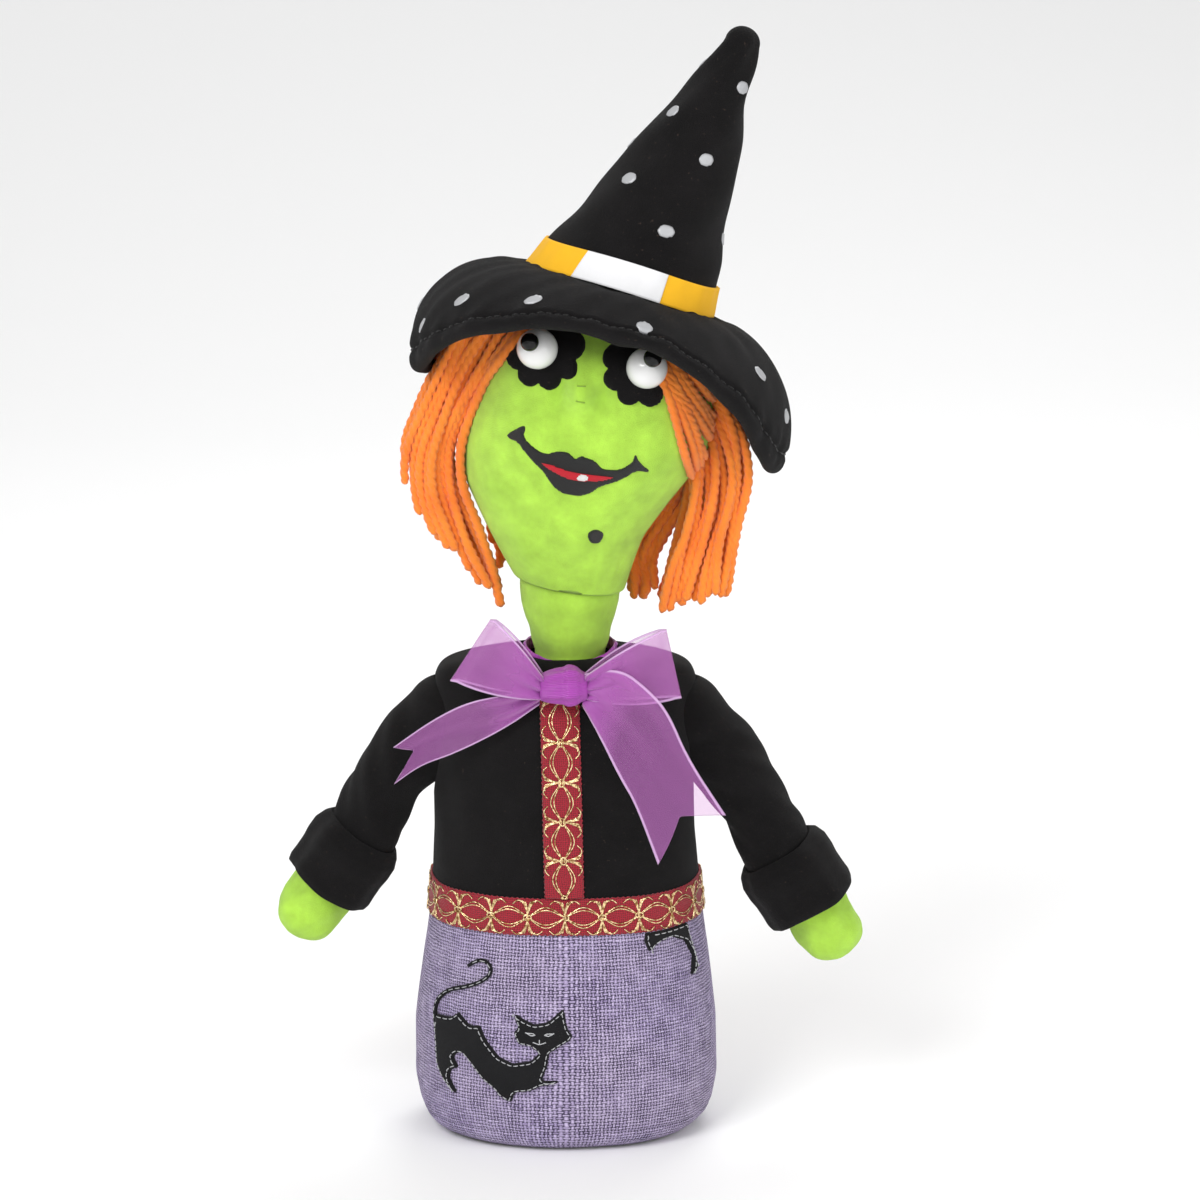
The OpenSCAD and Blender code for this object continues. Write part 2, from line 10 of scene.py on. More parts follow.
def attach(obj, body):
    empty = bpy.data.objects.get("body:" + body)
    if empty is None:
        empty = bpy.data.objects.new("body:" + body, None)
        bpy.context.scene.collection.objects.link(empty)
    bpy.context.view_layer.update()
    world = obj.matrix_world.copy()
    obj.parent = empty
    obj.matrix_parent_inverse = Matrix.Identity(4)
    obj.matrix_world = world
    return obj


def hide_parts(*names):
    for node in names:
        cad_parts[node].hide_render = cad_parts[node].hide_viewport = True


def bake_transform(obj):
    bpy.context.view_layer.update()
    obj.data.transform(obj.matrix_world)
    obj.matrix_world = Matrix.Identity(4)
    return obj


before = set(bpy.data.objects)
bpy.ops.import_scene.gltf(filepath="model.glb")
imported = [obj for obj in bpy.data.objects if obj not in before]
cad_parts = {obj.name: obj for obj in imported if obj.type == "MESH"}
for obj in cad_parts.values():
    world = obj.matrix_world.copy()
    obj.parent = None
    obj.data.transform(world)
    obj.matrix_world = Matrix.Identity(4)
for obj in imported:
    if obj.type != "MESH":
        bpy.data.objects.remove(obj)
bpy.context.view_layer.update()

bl_info = {
    "name": "Witch Hand Puppet",
    "version": (1, 0, 0),
    "blender": (4, 5, 0),
    "location": "3D View > Sidebar > Puppet",
    "description": "Builds the cloth, yarn, ribbon and beads of a witch hand puppet over its packed frame",
    "category": "Object",
}

MM = 0.001
PI = math.pi


# ---------- sizes and colours ----------

def length(name, description, millimetres, low=0.0, high=0.2):
    """A length property whose default is given in millimetres."""
    return bpy.props.FloatProperty(name=name, description=description, default=millimetres * MM, min=low, max=high,
                                   subtype="DISTANCE", unit="LENGTH", precision=5)


def tint(name, description, value):
    """A linear colour property."""
    return bpy.props.FloatVectorProperty(name=name, description=description, default=value, size=3, min=0.0, max=1.0,
                                         subtype="COLOR")


class PuppetSizes(bpy.types.PropertyGroup):
    """Sizes of the made pieces, in metres."""

    cloth: length("Cloth", "Thickness of the glove's cloth", 1.4)
    weave_pitch: length("Weave pitch", "Distance between threads of the skirt's burlap", 1.35)
    ripple: length("Ripple", "How far the glove's cloth waves in and out", 0.7)
    felt: length("Felt", "Thickness of the felt cut-outs", 1.3)
    braid_width: length("Braid width", "Width of the woven braid", 15.0)
    braid_repeat: length("Braid repeat", "Length of one motif of the woven braid", 14.6)
    gold_thread: length("Gold thread", "Radius of the braid's metallic threads", 0.27)
    yarn_radius: length("Yarn radius", "Radius of one strand of hair", 1.8)
    yarn_lay: length("Yarn lay", "Length in which a strand's plies turn once", 11.5)
    ribbon: length("Ribbon", "Thickness of the bow's ribbon", 0.35)
    brim: length("Brim", "Thickness of the padded hat brim", 7.0)
    bead: length("Eye bead", "Radius of the white eye beads", 8.1)
    pupil: length("Pupil bead", "Radius of the black pupil beads", 3.6)


class PuppetColours(bpy.types.PropertyGroup):
    """Linear colours of the made pieces."""

    burlap: tint("Burlap", "Light threads of the skirt", (0.580, 0.490, 0.740))
    burlap_dark: tint("Burlap shade", "Dark threads of the skirt", (0.285, 0.220, 0.420))
    felt: tint("Felt", "Black felt of bodice, sleeves and hat", (0.0042, 0.0036, 0.0039))
    lime: tint("Velour", "Lime velour of head and hands", (0.410, 0.700, 0.070))
    yarn: tint("Yarn", "Orange hair", (1.000, 0.245, 0.014))
    crimson: tint("Braid", "Ground of the woven braid", (0.230, 0.004, 0.014))
    gold: tint("Gold", "Metallic threads of the braid", (1.000, 0.790, 0.450))
    ribbon: tint("Ribbon", "Sheer bow", (0.560, 0.170, 0.560))
    ribbon_edge: tint("Ribbon edge", "Satin edges of the bow", (0.700, 0.430, 0.740))
    yellow: tint("Band", "Yellow of the hat band", (0.880, 0.470, 0.020))
    white: tint("White", "White of the hat band and the tooth", (0.800, 0.800, 0.810))
    silver: tint("Silver", "Foil spots and stitching", (0.430, 0.435, 0.450))
    red: tint("Red thread", "Thread of the lip line", (0.560, 0.008, 0.022))


def sizes():
    """The scene's size properties."""
    return bpy.context.scene.puppet_sizes


def colours():
    """The scene's colour properties."""
    return bpy.context.scene.puppet_colours


def mm(value):
    """Metres to millimetres."""
    return value / MM


# ---------- shared geometry, in millimetres ----------

def turned(axis, degrees):
    """3x3 rotation about one axis."""
    c, s = math.cos(math.radians(degrees)), math.sin(math.radians(degrees))
    return np.array({"x": [[1, 0, 0], [0, c, -s], [0, s, c]],
                     "y": [[c, 0, s], [0, 1, 0], [-s, 0, c]],
                     "z": [[c, -s, 0], [s, c, 0], [0, 0, 1]]}[axis], float)


def placed(points, place):
    """Points turned and moved by place = (rotation, origin)."""
    return np.asarray(points, float) @ place[0].T + place[1]


AT_HEAD = (turned("y", 8.5) @ turned("z", -8), np.array([2.0, 0, 230]))
AT_HAT = (AT_HEAD[0] @ turned("y", 7) @ turned("x", -11), placed([1.5, 0, 114.5], AT_HEAD))


def at_arm(side):
    """The arm's frame: local +Z runs down the arm from the shoulder. side is -1 for left and 1 for right."""
    angle = 34 if side < 0 else 33
    return turned("y", side * (180 - angle)), np.array([side * 48.0, 0, 172])


WRIST = {-1: 65.0, 1: 74.0}
CUFF_LENGTH = 22.0
HAND_LENGTH = 25.0
SQUARE = 0.87


def smooth_table(stations, step=0.5, reach=9):
    """Stations [height, half width, half depth, ...] resampled every step and eased by a running mean."""
    stations = np.array(stations, float)
    z = np.arange(stations[0, 0], stations[-1, 0] + step / 2, step)
    columns = [z]
    for column in range(1, stations.shape[1]):
        values = np.interp(z, stations[:, 0], stations[:, column])
        padded = np.concatenate([2 * values[0] - values[reach:0:-1], values, 2 * values[-1] - values[-2:-reach - 2:-1]])
        kernel = np.hanning(2 * reach + 3)[1:-1]
        columns.append(np.convolve(padded, kernel / kernel.sum(), "valid"))
    return np.stack(columns, axis=1)


BODY = smooth_table(
    [[1.4 + s * 97.6, w * 61.5, d * 46.5] for s, w, d in
     [(0, .83, .84), (.03, .90, .91), (.09, .965, .965), (.2, 1, 1), (.45, .99, .99), (.75, .935, .935),
      (1, .878, .88)]] +
    [[99 + s * 100, w * 61.5, d * 46.5] for s, w, d in
     [(.26, .854, .85), (.51, .854, .806), (.71, .862, .731), (.83, .862, .624), (.90, .85, .55),
      (.945, .81, .50), (.975, .69, .45), (.99, .48, .41), (1, .30, .375)]], reach=6)

HEAD = smooth_table([[z, w * 48.5, d * 48.5, shift] for z, w, d, shift in
                     [(-2, .465, .435, 0), (8, .56, .54, -3), (20, .67, .64, -6), (35, .845, .742, -7),
                      (50, .96, .815, -4), (62, 1, .845, -1), (75, .98, .845, 0), (88, .938, .835, 0),
                      (98, .866, .784, 0), (106, .695, .55, 0), (112, .555, .475, 0), (117, .40, .36, 0),
                      (120, .20, .18, 0)]], reach=12)


def oval(w, d, u):
    """x = w sign(cos u) |cos u|^0.87 and y = d sign(sin u) |sin u|^0.87; u = 270 degrees is the front."""
    c, s = np.cos(u), np.sin(u)
    return w * np.sign(c) * np.abs(c) ** SQUARE, d * np.sign(s) * np.abs(s) ** SQUARE


def body_wave(u, z):
    """Lumps of a soft glove: a few slow sines in angle and height, from -1 to 1."""
    return (0.5 * np.sin(3 * u + z / 31) + 0.3 * np.sin(7 * u - z / 17 + 1) + 0.2 * np.sin(12 * u + z / 9 + 2)
            + 0.25 * np.sin(5 * u + 0.4) * np.sin(z / 12))


def body_point(u, z, out):
    """The glove's surface at angle u and height z, moved outwards by out."""
    w = np.interp(z, BODY[:, 0], BODY[:, 1])
    d = np.interp(z, BODY[:, 0], BODY[:, 2])
    out = out + mm(sizes().ripple) * body_wave(u, z)
    x, y = oval(w + out, d + out, u)
    return np.stack([x, y, np.broadcast_to(z, x.shape)], axis=-1)


def front_angle(table, x, z):
    """The angle of the front half whose oval passes through x."""
    c = np.clip(np.abs(x) / np.interp(z, table[:, 0], table[:, 1]), 0, 0.9999) ** (1 / SQUARE)
    return np.arctan2(-np.sqrt(1 - c * c), np.sign(x) * c)


def on_body(x, z, out):
    """A point on the glove's front at x and z, out millimetres above the cloth."""
    return body_point(front_angle(BODY, x, z), z, out)


def jaw_shift(z):
    """How far the head hangs over to the side at height z."""
    return np.interp(z, HEAD[:, 0], HEAD[:, 3])


def head_shape(u, z, out):
    """The stuffed head: ovals with full cheeks, a rounded chin and a small pinched nose."""
    w = np.interp(z, HEAD[:, 0], HEAD[:, 1])
    d = np.interp(z, HEAD[:, 0], HEAD[:, 2])
    x, y = oval(w + out, d + out, u)
    x = x + jaw_shift(z)
    front = np.clip(-y / 40, 0, 1) ** 2
    beside = np.abs(x + 2.2)
    nose = 4.6 * np.exp(-(beside / 4.6) ** 2 - ((z - 83) / 7.5) ** 2) \
        - 2.3 * np.exp(-((beside - 8.5) / 3.2) ** 2 - ((z - 83) / 7) ** 2)
    chin = 2.2 * np.exp(-((x - 2) / 15) ** 2 - ((z - 22) / 13) ** 2)
    cheek = 1.1 * np.exp(-((np.abs(x) - 27) / 11) ** 2 - ((z - 58) / 14) ** 2)
    lumps = 0.35 * np.sin(6 * u + z / 10) + 0.25 * np.sin(11 * u - z / 6 + 1)
    return np.stack([x, y - front * (nose + chin + cheek) + lumps * np.sin(u), np.broadcast_to(z, x.shape)], axis=-1)


def on_face(x, z, out):
    """A point on the face at head-local x and z, out millimetres above the velour."""
    return placed(head_shape(front_angle(HEAD, x - jaw_shift(z), z), z, out), AT_HEAD)


CROWN_RADIUS, CROWN_TIP, CROWN_HEIGHT = 38.5, 6.5, 109.8
CROWN_LEAN = np.array([0.1763, -0.0978])


def crown_point(u, z, out):
    """The hat's cone leaning over: centre = lean z, radius falling from 38.5 to 6.5, with slack folds. Hat-local."""
    radius = CROWN_RADIUS - (CROWN_RADIUS - CROWN_TIP) * z / CROWN_HEIGHT
    folds = (0.55 * np.sin(2 * u + z / 8) + 0.4 * np.sin(5 * u - z / 6) + 0.35 * np.sin(z / 4.1 + 2 * np.cos(u))) \
        * np.clip(z / 25, 0, 1)
    r = radius + out + folds
    return np.stack([CROWN_LEAN[0] * z + r * np.cos(u), CROWN_LEAN[1] * z + r * np.sin(u),
                     np.broadcast_to(z, r.shape)], axis=-1)


def to_the_side(u):
    """0 at front and back and 1 at the sides: |cos u|^1.8 on the left and |cos u|^3.4 on the right."""
    return np.abs(np.cos(u)) ** np.where(np.cos(u) < 0, 1.8, 3.4)


def brim_width(u):
    """The brim's width along the cloth: 36 at front and back, 71 at the sides."""
    return 36 + 35 * to_the_side(u)


def brim_curve(t, u):
    """The brim's middle line, curling down along an arc: 46 degrees in front, 104 at the right, 127 at the left."""
    turn = np.radians(46 + np.where(np.cos(u) < 0, 81, 58) * to_the_side(u))
    bend = brim_width(u) / turn
    return CROWN_RADIUS + bend * np.sin(turn * t), -bend * (1 - np.cos(turn * t)), turn * t


def brim_point(t, u, out):
    """A point out millimetres along the normal from the brim's middle surface. Hat-local."""
    r, z, slope = brim_curve(t, u)
    limp = (0.9 * np.sin(5 * u + 1) + 0.6 * np.sin(11 * u + 2) + 0.35 * np.sin(19 * u)) * np.clip(t, 0, 1) ** 1.6
    r = r + (out + limp) * np.sin(slope)
    return np.stack([r * np.cos(u), r * np.sin(u), z + (out + limp) * np.cos(slope)], axis=-1)


# ---------- meshes from whole arrays ----------

def grid_faces(rows, columns, wrap_rows=False, wrap_columns=False):
    """Quads of a rows by columns grid, closed in either direction if asked."""
    i, j = np.meshgrid(np.arange(rows if wrap_rows else rows - 1), np.arange(columns if wrap_columns else columns - 1),
                       indexing="ij")
    i2, j2 = (i + 1) % rows, (j + 1) % columns
    return np.stack([i * columns + j, i * columns + j2, i2 * columns + j2, i2 * columns + j], axis=-1).reshape(-1, 4)


def grid_uv(u, v):
    """Corner coordinates for grid_faces, from the lines' positions u along columns and v along rows."""
    a, b = np.meshgrid(v[:-1], u[:-1], indexing="ij")
    a2, b2 = np.meshgrid(v[1:], u[1:], indexing="ij")
    return np.stack([np.stack([b, a], -1), np.stack([b2, a], -1), np.stack([b2, a2], -1), np.stack([b, a2], -1)],
                    axis=-2).reshape(-1, 4, 2)


class Shape:
    """Vertices and faces in millimetres, gathered from grids until they become one object."""

    def __init__(self):
        self.points, self.faces, self.uvs, self.slots, self.count = [], [], [], [], 0

    def add(self, points, faces, uv=None, slot=0):
        """Adds faces (m, k) over points (n, 3); several face arrays may share the points through add_faces."""
        points = np.asarray(points, float).reshape(-1, 3)
        self.points.append(points)
        start, self.count = self.count, self.count + len(points)
        self.add_faces(faces, start, uv, slot)
        return start

    def add_faces(self, faces, start, uv=None, slot=0):
        """Adds faces over points added before, whose first one is number start."""
        faces = np.asarray(faces, int)
        self.faces.append(faces + start)
        self.uvs.append(np.zeros(faces.shape + (2,)) if uv is None else np.asarray(uv, float))
        self.slots.append(np.full(len(faces), slot))

    def grid(self, points, wrap_rows=False, wrap_columns=False, u=None, v=None, slot=0):
        """Adds a grid of points (rows, columns, 3) with coordinates in millimetres."""
        rows, columns = points.shape[:2]
        u = np.arange(columns + wrap_columns, dtype=float) if u is None else np.asarray(u, float)
        v = np.arange(rows + wrap_rows, dtype=float) if v is None else np.asarray(v, float)
        return self.add(points, grid_faces(rows, columns, wrap_rows, wrap_columns), grid_uv(u, v), slot)

    def made(self, name, materials, smooth=True):
        """The finished object, in metres, at the origin."""
        mesh = bpy.data.meshes.new(name)
        points = np.concatenate(self.points) * MM
        corners = np.concatenate([f.ravel() for f in self.faces])
        sides = np.concatenate([np.full(len(f), f.shape[1]) for f in self.faces])
        mesh.vertices.add(len(points))
        mesh.vertices.foreach_set("co", points.astype(np.float32).ravel())
        mesh.loops.add(len(corners))
        mesh.loops.foreach_set("vertex_index", corners.astype(np.int32))
        mesh.polygons.add(len(sides))
        mesh.polygons.foreach_set("loop_start", np.concatenate([[0], np.cumsum(sides)[:-1]]).astype(np.int32))
        mesh.polygons.foreach_set("material_index", np.concatenate(self.slots).astype(np.int32))
        mesh.polygons.foreach_set("use_smooth", np.full(len(sides), smooth))
        layer = mesh.uv_layers.new(name="UVMap")
        layer.data.foreach_set("uv", np.concatenate([u.reshape(-1, 2) for u in self.uvs]).astype(np.float32).ravel())
        mesh.update(calc_edges=True)
        mesh.validate()
        obj = bpy.data.objects.new(name, mesh)
        bpy.context.collection.objects.link(obj)
        for material in materials:
            mesh.materials.append(material)
        return obj


def unit(vectors):
    """Vectors scaled to length 1."""
    return vectors / np.maximum(np.linalg.norm(vectors, axis=-1, keepdims=True), 1e-9)


def add_tubes(shape, paths, radius, sides=8, up=(0, 1, 0), profile=None, flat=1.0, slot=0):
    """Sweeps a ring along paths (strands, points, 3) and closes both ends.

    Each ring is p + R (cos a * side + flat sin a * normal), with side = T x up and normal = side x T. profile gives
    a radius factor for each (strand, point, ring angle), such as the lobes of plied yarn.
    """
    paths = np.asarray(paths, float)
    strands, points = paths.shape[:2]
    tangent = unit(np.gradient(paths, axis=1))
    side = unit(np.cross(tangent, np.broadcast_to(np.asarray(up, float), paths.shape)))
    normal = np.cross(side, tangent)
    angle = np.linspace(0, 2 * PI, sides, endpoint=False)
    r = np.broadcast_to(np.asarray(radius, float), (strands, points))[:, :, None] * np.ones(sides)
    if profile is not None:
        r = r * profile(angle)
    rings = paths[:, :, None] + r[..., None] * (np.cos(angle)[:, None] * side[:, :, None]
                                                + flat * np.sin(angle)[:, None] * normal[:, :, None])
    faces = grid_faces(points, sides, wrap_columns=True)
    starts = (np.arange(strands) * points * sides)[:, None, None]
    along = np.concatenate([np.zeros((strands, 1)), np.cumsum(np.linalg.norm(np.diff(paths, axis=1), axis=-1), axis=1)],
                           axis=1)
    round_the = np.linspace(0, 1, sides + 1)
    uv = np.concatenate([grid_uv(round_the, v) for v in along])
    start = shape.add(rings.reshape(-1, 3), (faces[None] + starts).reshape(-1, 4), uv, slot)
    ring = np.arange(sides)
    ends = np.concatenate([ring[::-1] + starts[:, :, 0], ring + starts[:, :, 0] + (points - 1) * sides])
    shape.add_faces(ends, start, slot=slot)


def resampled(points, spacing=None, count=None, closed=False):
    """A polyline's points spread evenly by length."""
    points = np.asarray(points, float)
    if closed:
        points = np.concatenate([points, points[:1]])
    walked = np.concatenate([[0], np.cumsum(np.linalg.norm(np.diff(points, axis=0), axis=1))])
    count = count or max(int(round(walked[-1] / spacing)), 3) + 1
    at = np.linspace(0, walked[-1], count)
    out = np.stack([np.interp(at, walked, points[:, k]) for k in range(points.shape[1])], axis=1)
    return out[:-1] if closed else out


def rounded(points, rounds=2, closed=True):
    """Corner cutting: each edge gives points a quarter and three quarters of the way along it."""
    points = np.asarray(points, float)
    for _ in range(rounds):
        following = np.roll(points, -1, axis=0) if closed else points[1:]
        first = points if closed else points[:-1]
        cut = np.stack([0.75 * first + 0.25 * following, 0.25 * first + 0.75 * following], 1).reshape(-1, 2)
        points = cut if closed else np.concatenate([points[:1], cut, points[-1:]])
    return points


def edge_distance(points, outline):
    """Distance of each point to a closed outline, and whether it is inside."""
    a, b = outline, np.roll(outline, -1, axis=0)
    ab = b - a
    ap = points[:, None] - a[None]
    t = np.clip((ap * ab).sum(-1) / np.maximum((ab * ab).sum(-1), 1e-12), 0, 1)
    distance = np.linalg.norm(ap - t[..., None] * ab, axis=-1).min(axis=1)
    crosses = (a[:, 1] > points[:, None, 1]) != (b[:, 1] > points[:, None, 1])
    at = a[:, 0] + (points[:, None, 1] - a[:, 1]) * ab[:, 0] / np.where(np.abs(ab[:, 1]) < 1e-12, 1e-12, ab[:, 1])
    return distance, (crosses & (points[:, None, 0] < at)).sum(axis=1) % 2 == 1


def add_patch(shape, outline, mapper, height, base=-0.3, edge=0.8, spacing=1.0, slot=0):
    """A cut-out laid on a surface: its height rises from base at the outline as a quarter round of radius edge."""
    outline = resampled(outline, spacing=spacing * 0.8, closed=True)
    low, high = outline.min(0), outline.max(0)
    gx, gy = np.meshgrid(np.arange(low[0], high[0], spacing), np.arange(low[1], high[1], spacing))
    inner = np.stack([gx + 0.31 * spacing * np.sin(gy), gy], -1).reshape(-1, 2)
    distance, inside = edge_distance(inner, outline)
    inner = inner[inside & (distance > 0.45 * spacing)]
    flat = np.concatenate([outline, inner])
    ring = [(i, (i + 1) % len(outline)) for i in range(len(outline))]
    found = delaunay_2d_cdt([Vector(p) for p in flat], ring, [], 1, 1e-4)
    flat = np.array([tuple(p) for p in found[0]])
    faces = np.array([f for f in found[2] if len(f) == 3])
    a, b, c = flat[faces[:, 0]], flat[faces[:, 1]], flat[faces[:, 2]]
    area = (b[:, 0] - a[:, 0]) * (c[:, 1] - a[:, 1]) - (b[:, 1] - a[:, 1]) * (c[:, 0] - a[:, 0])
    faces = np.where((area < 0)[:, None], faces[:, ::-1], faces)[np.abs(area) > 1e-6]
    distance, _ = edge_distance(flat, outline)
    near = np.clip(distance / edge, 0, 1)
    top = mapper(flat[:, 0], flat[:, 1], base + (height - base) * np.sqrt(1 - (1 - near) ** 2))
    under = mapper(flat[:, 0], flat[:, 1], np.full(len(flat), base))
    on_edge = distance < 1e-3
    second = np.where(on_edge, np.arange(len(flat)), len(flat) + np.cumsum(~on_edge) - 1)
    uv = flat[faces]
    start = shape.add(np.concatenate([top, under[~on_edge]]), faces, uv, slot)
    shape.add_faces(second[faces][:, ::-1], start, uv[:, ::-1], slot)


def stitches(path, mapper, out, dash, gap, lift=0.25):
    """Paths of separate stitches along a flat line: each rises over the cloth and dives in at both ends."""
    path = np.asarray(path, float)
    walked = np.concatenate([[0], np.cumsum(np.linalg.norm(np.diff(path, axis=0), axis=1))])
    first = np.arange(0, walked[-1] - dash, dash + gap)
    at = first[:, None] + np.linspace(0, dash, 6)
    x, z = np.interp(at, walked, path[:, 0]), np.interp(at, walked, path[:, 1])
    rise = out + lift * np.sin(np.linspace(0, PI, 6)) - 0.1
    return mapper(x.ravel(), z.ravel(), np.tile(rise, len(first))).reshape(len(first), 6, 3)


def add_ribbon(shape, middle, thickness, u=None, v=None, slot=0):
    """A closed slab either side of a sheet of points (rows along, columns across)."""
    along, across = np.gradient(middle, axis=0), np.gradient(middle, axis=1)
    normal = unit(np.cross(across, along))
    half = thickness / 2
    rows, columns = middle.shape[:2]
    rings = np.concatenate([middle + half * normal, (middle - half * normal)[:, ::-1]], axis=1)
    v = np.arange(rows, dtype=float) if v is None else v
    u = np.linspace(0, 1, columns) if u is None else u
    start = shape.grid(rings, wrap_columns=True, u=np.concatenate([u, u[::-1], u[:1]]), v=v, slot=slot)
    j = np.arange(columns - 1)
    cap = np.stack([j, 2 * columns - 1 - j, 2 * columns - 2 - j, j + 1], axis=1)
    shape.add_faces(cap, start, slot=slot)
    shape.add_faces(cap[:, ::-1] + (rows - 1) * 2 * columns, start, slot=slot)


def ball(shape, centre, radii, place=None, rows=28, columns=48, slot=0):
    """A closed ellipsoid with a vertex at each pole."""
    polar = np.linspace(0, PI, rows)[1:-1]
    a = np.linspace(0, 2 * PI, columns, endpoint=False)
    p, q = np.meshgrid(polar, a, indexing="ij")
    points = np.stack([np.sin(p) * np.cos(q), np.sin(p) * np.sin(q), -np.cos(p)], -1) * np.asarray(radii, float)
    add_round(shape, points, np.array([0, 0, -1]) * radii, np.array([0, 0, 1]) * radii,
              lambda x: placed(x, place or (np.eye(3), np.zeros(3))) + np.asarray(centre, float), slot=slot)


def add_round(shape, points, low, high, mapper=lambda x: x, u=None, v=None, slot=0):
    """A closed surface from rings (rows, columns, 3), counterclockwise from the lowest, with a pole at each end."""
    rows, columns = points.shape[:2]
    start = shape.grid(mapper(points), wrap_columns=True, u=u, v=v, slot=slot)
    pole = shape.add(mapper(np.stack([low, high]).astype(float)), np.zeros((0, 3), int))
    ring = np.arange(columns)
    after = (ring + 1) % columns
    top = start + (rows - 1) * columns
    shape.add_faces(np.stack([np.full(columns, pole), start + after, start + ring], 1), 0, slot=slot)
    shape.add_faces(np.stack([np.full(columns, pole + 1), top + ring, top + after], 1), 0, slot=slot)


def ring_of(profile, columns, place):
    """Turned rings (rows, columns, 3) from a profile of [radius, height] about the local Z axis."""
    profile = np.asarray(profile, float)
    a = np.linspace(0, 2 * PI, columns, endpoint=False)
    points = np.stack([profile[:, :1] * np.cos(a), profile[:, :1] * np.sin(a),
                       np.broadcast_to(profile[:, 1:2], (len(profile), columns))], -1)
    return placed(points, place)


# ---------- materials ----------

class Nodes:
    """Short calls for building a node tree."""

    def __init__(self, tree):
        self.tree = tree

    def new(self, kind, **settings):
        """A node with properties set, and inputs for names that are sockets."""
        node = self.tree.nodes.new(kind)
        for key, value in settings.items():
            setattr(node, key, value)
        return node

    def link(self, source, target):
        """Joins an output to an input."""
        self.tree.links.new(source, target)

    def feed(self, socket, value):
        """Sets a socket from a number, a tuple or another socket."""
        if isinstance(value, bpy.types.NodeSocket):
            self.link(value, socket)
        else:
            socket.default_value = value

    def math(self, operation, a, b=0.0, clamp=False):
        """One math node."""
        node = self.new("ShaderNodeMath", operation=operation, use_clamp=clamp)
        self.feed(node.inputs[0], a)
        self.feed(node.inputs[1], b)
        return node.outputs[0]

    def noise(self, vector, scale, detail=3.0, roughness=0.5):
        """Noise from 0 to 1."""
        node = self.new("ShaderNodeTexNoise")
        self.feed(node.inputs["Vector"], vector)
        self.feed(node.inputs["Scale"], scale)
        node.inputs["Detail"].default_value = detail
        node.inputs["Roughness"].default_value = roughness
        return node.outputs["Fac"]

    def span(self, value, low, high, to_low=0.0, to_high=1.0):
        """A clamped map of a range."""
        node = self.new("ShaderNodeMapRange")
        for socket, item in zip(node.inputs, (value, low, high, to_low, to_high)):
            self.feed(socket, item)
        return node.outputs[0]

    def mix(self, factor, a, b):
        """A mix of two colours."""
        node = self.new("ShaderNodeMix", data_type="RGBA")
        self.feed(node.inputs[0], factor)
        self.feed(node.inputs[6], a)
        self.feed(node.inputs[7], b)
        return node.outputs[2]

    def split(self, vector):
        """The three parts of a vector."""
        node = self.new("ShaderNodeSeparateXYZ")
        self.link(vector, node.inputs[0])
        return node.outputs


def new_group(name, inputs, outputs):
    """An empty node group with float or vector sockets; returns the group, its builder and its two end nodes."""
    group = bpy.data.node_groups.new(name, "ShaderNodeTree")
    for title, kind, value in inputs:
        socket = group.interface.new_socket(title, in_out="INPUT", socket_type=kind)
        if value is not None:
            socket.default_value = value
    for title in outputs:
        group.interface.new_socket(title, in_out="OUTPUT", socket_type="NodeSocketFloat")
    build = Nodes(group)
    return group, build, build.new("NodeGroupInput"), build.new("NodeGroupOutput")


def weave_group():
    """Plain weave: at each cell one thread humps over the other, h = max(|sin|, |sin|) with the crossing swapped."""
    if "Plain weave" in bpy.data.node_groups:
        return bpy.data.node_groups["Plain weave"]
    group, n, start, end = new_group("Plain weave", [("Vector", "NodeSocketVector", None),
                                                     ("Pitch", "NodeSocketFloat", 1.0)], ["Height", "Warp", "Slub"])
    wobble = n.new("ShaderNodeTexNoise")
    n.link(start.outputs["Vector"], wobble.inputs["Vector"])
    wobble.inputs["Scale"].default_value = 0.22
    shifted = n.new("ShaderNodeVectorMath", operation="MULTIPLY_ADD")
    n.link(wobble.outputs["Color"], shifted.inputs[0])
    shifted.inputs[1].default_value = (1.3, 1.3, 0)
    n.link(start.outputs["Vector"], shifted.inputs[2])
    x, y, _ = n.split(shifted.outputs[0])
    x = n.math("DIVIDE", x, start.outputs["Pitch"])
    y = n.math("DIVIDE", y, start.outputs["Pitch"])
    a = n.math("ABSOLUTE", n.math("SINE", n.math("MULTIPLY", x, PI)))
    b = n.math("ABSOLUTE", n.math("SINE", n.math("MULTIPLY", y, PI)))
    turn = n.math("PINGPONG", n.math("ADD", n.math("FLOOR", x), n.math("FLOOR", y)), 1.0)
    warp = n.math("MULTIPLY", a, n.math("ADD", n.math("MULTIPLY", turn, 0.45), 0.55))
    weft = n.math("MULTIPLY", b, n.math("SUBTRACT", 1.0, n.math("MULTIPLY", turn, 0.45)))
    is_warp = n.math("GREATER_THAN", warp, weft)
    n.link(n.math("MAXIMUM", warp, weft), end.inputs["Height"])
    n.link(is_warp, end.inputs["Warp"])
    along = n.new("ShaderNodeCombineXYZ")
    n.link(n.math("MULTIPLY", n.math("FLOOR", x), 7.3), along.inputs[0])
    n.link(n.math("MULTIPLY", y, 0.16), along.inputs[1])
    over = n.new("ShaderNodeCombineXYZ")
    n.link(n.math("MULTIPLY", x, 0.16), over.inputs[0])
    n.link(n.math("MULTIPLY", n.math("FLOOR", y), 5.7), over.inputs[1])
    up = n.noise(along.outputs[0], 1.0, 2.0)
    out = n.noise(over.outputs[0], 1.0, 2.0)
    pick = n.math("ADD", n.math("MULTIPLY", is_warp, up), n.math("MULTIPLY", n.math("SUBTRACT", 1.0, is_warp), out))
    n.link(pick, end.inputs["Slub"])
    return group


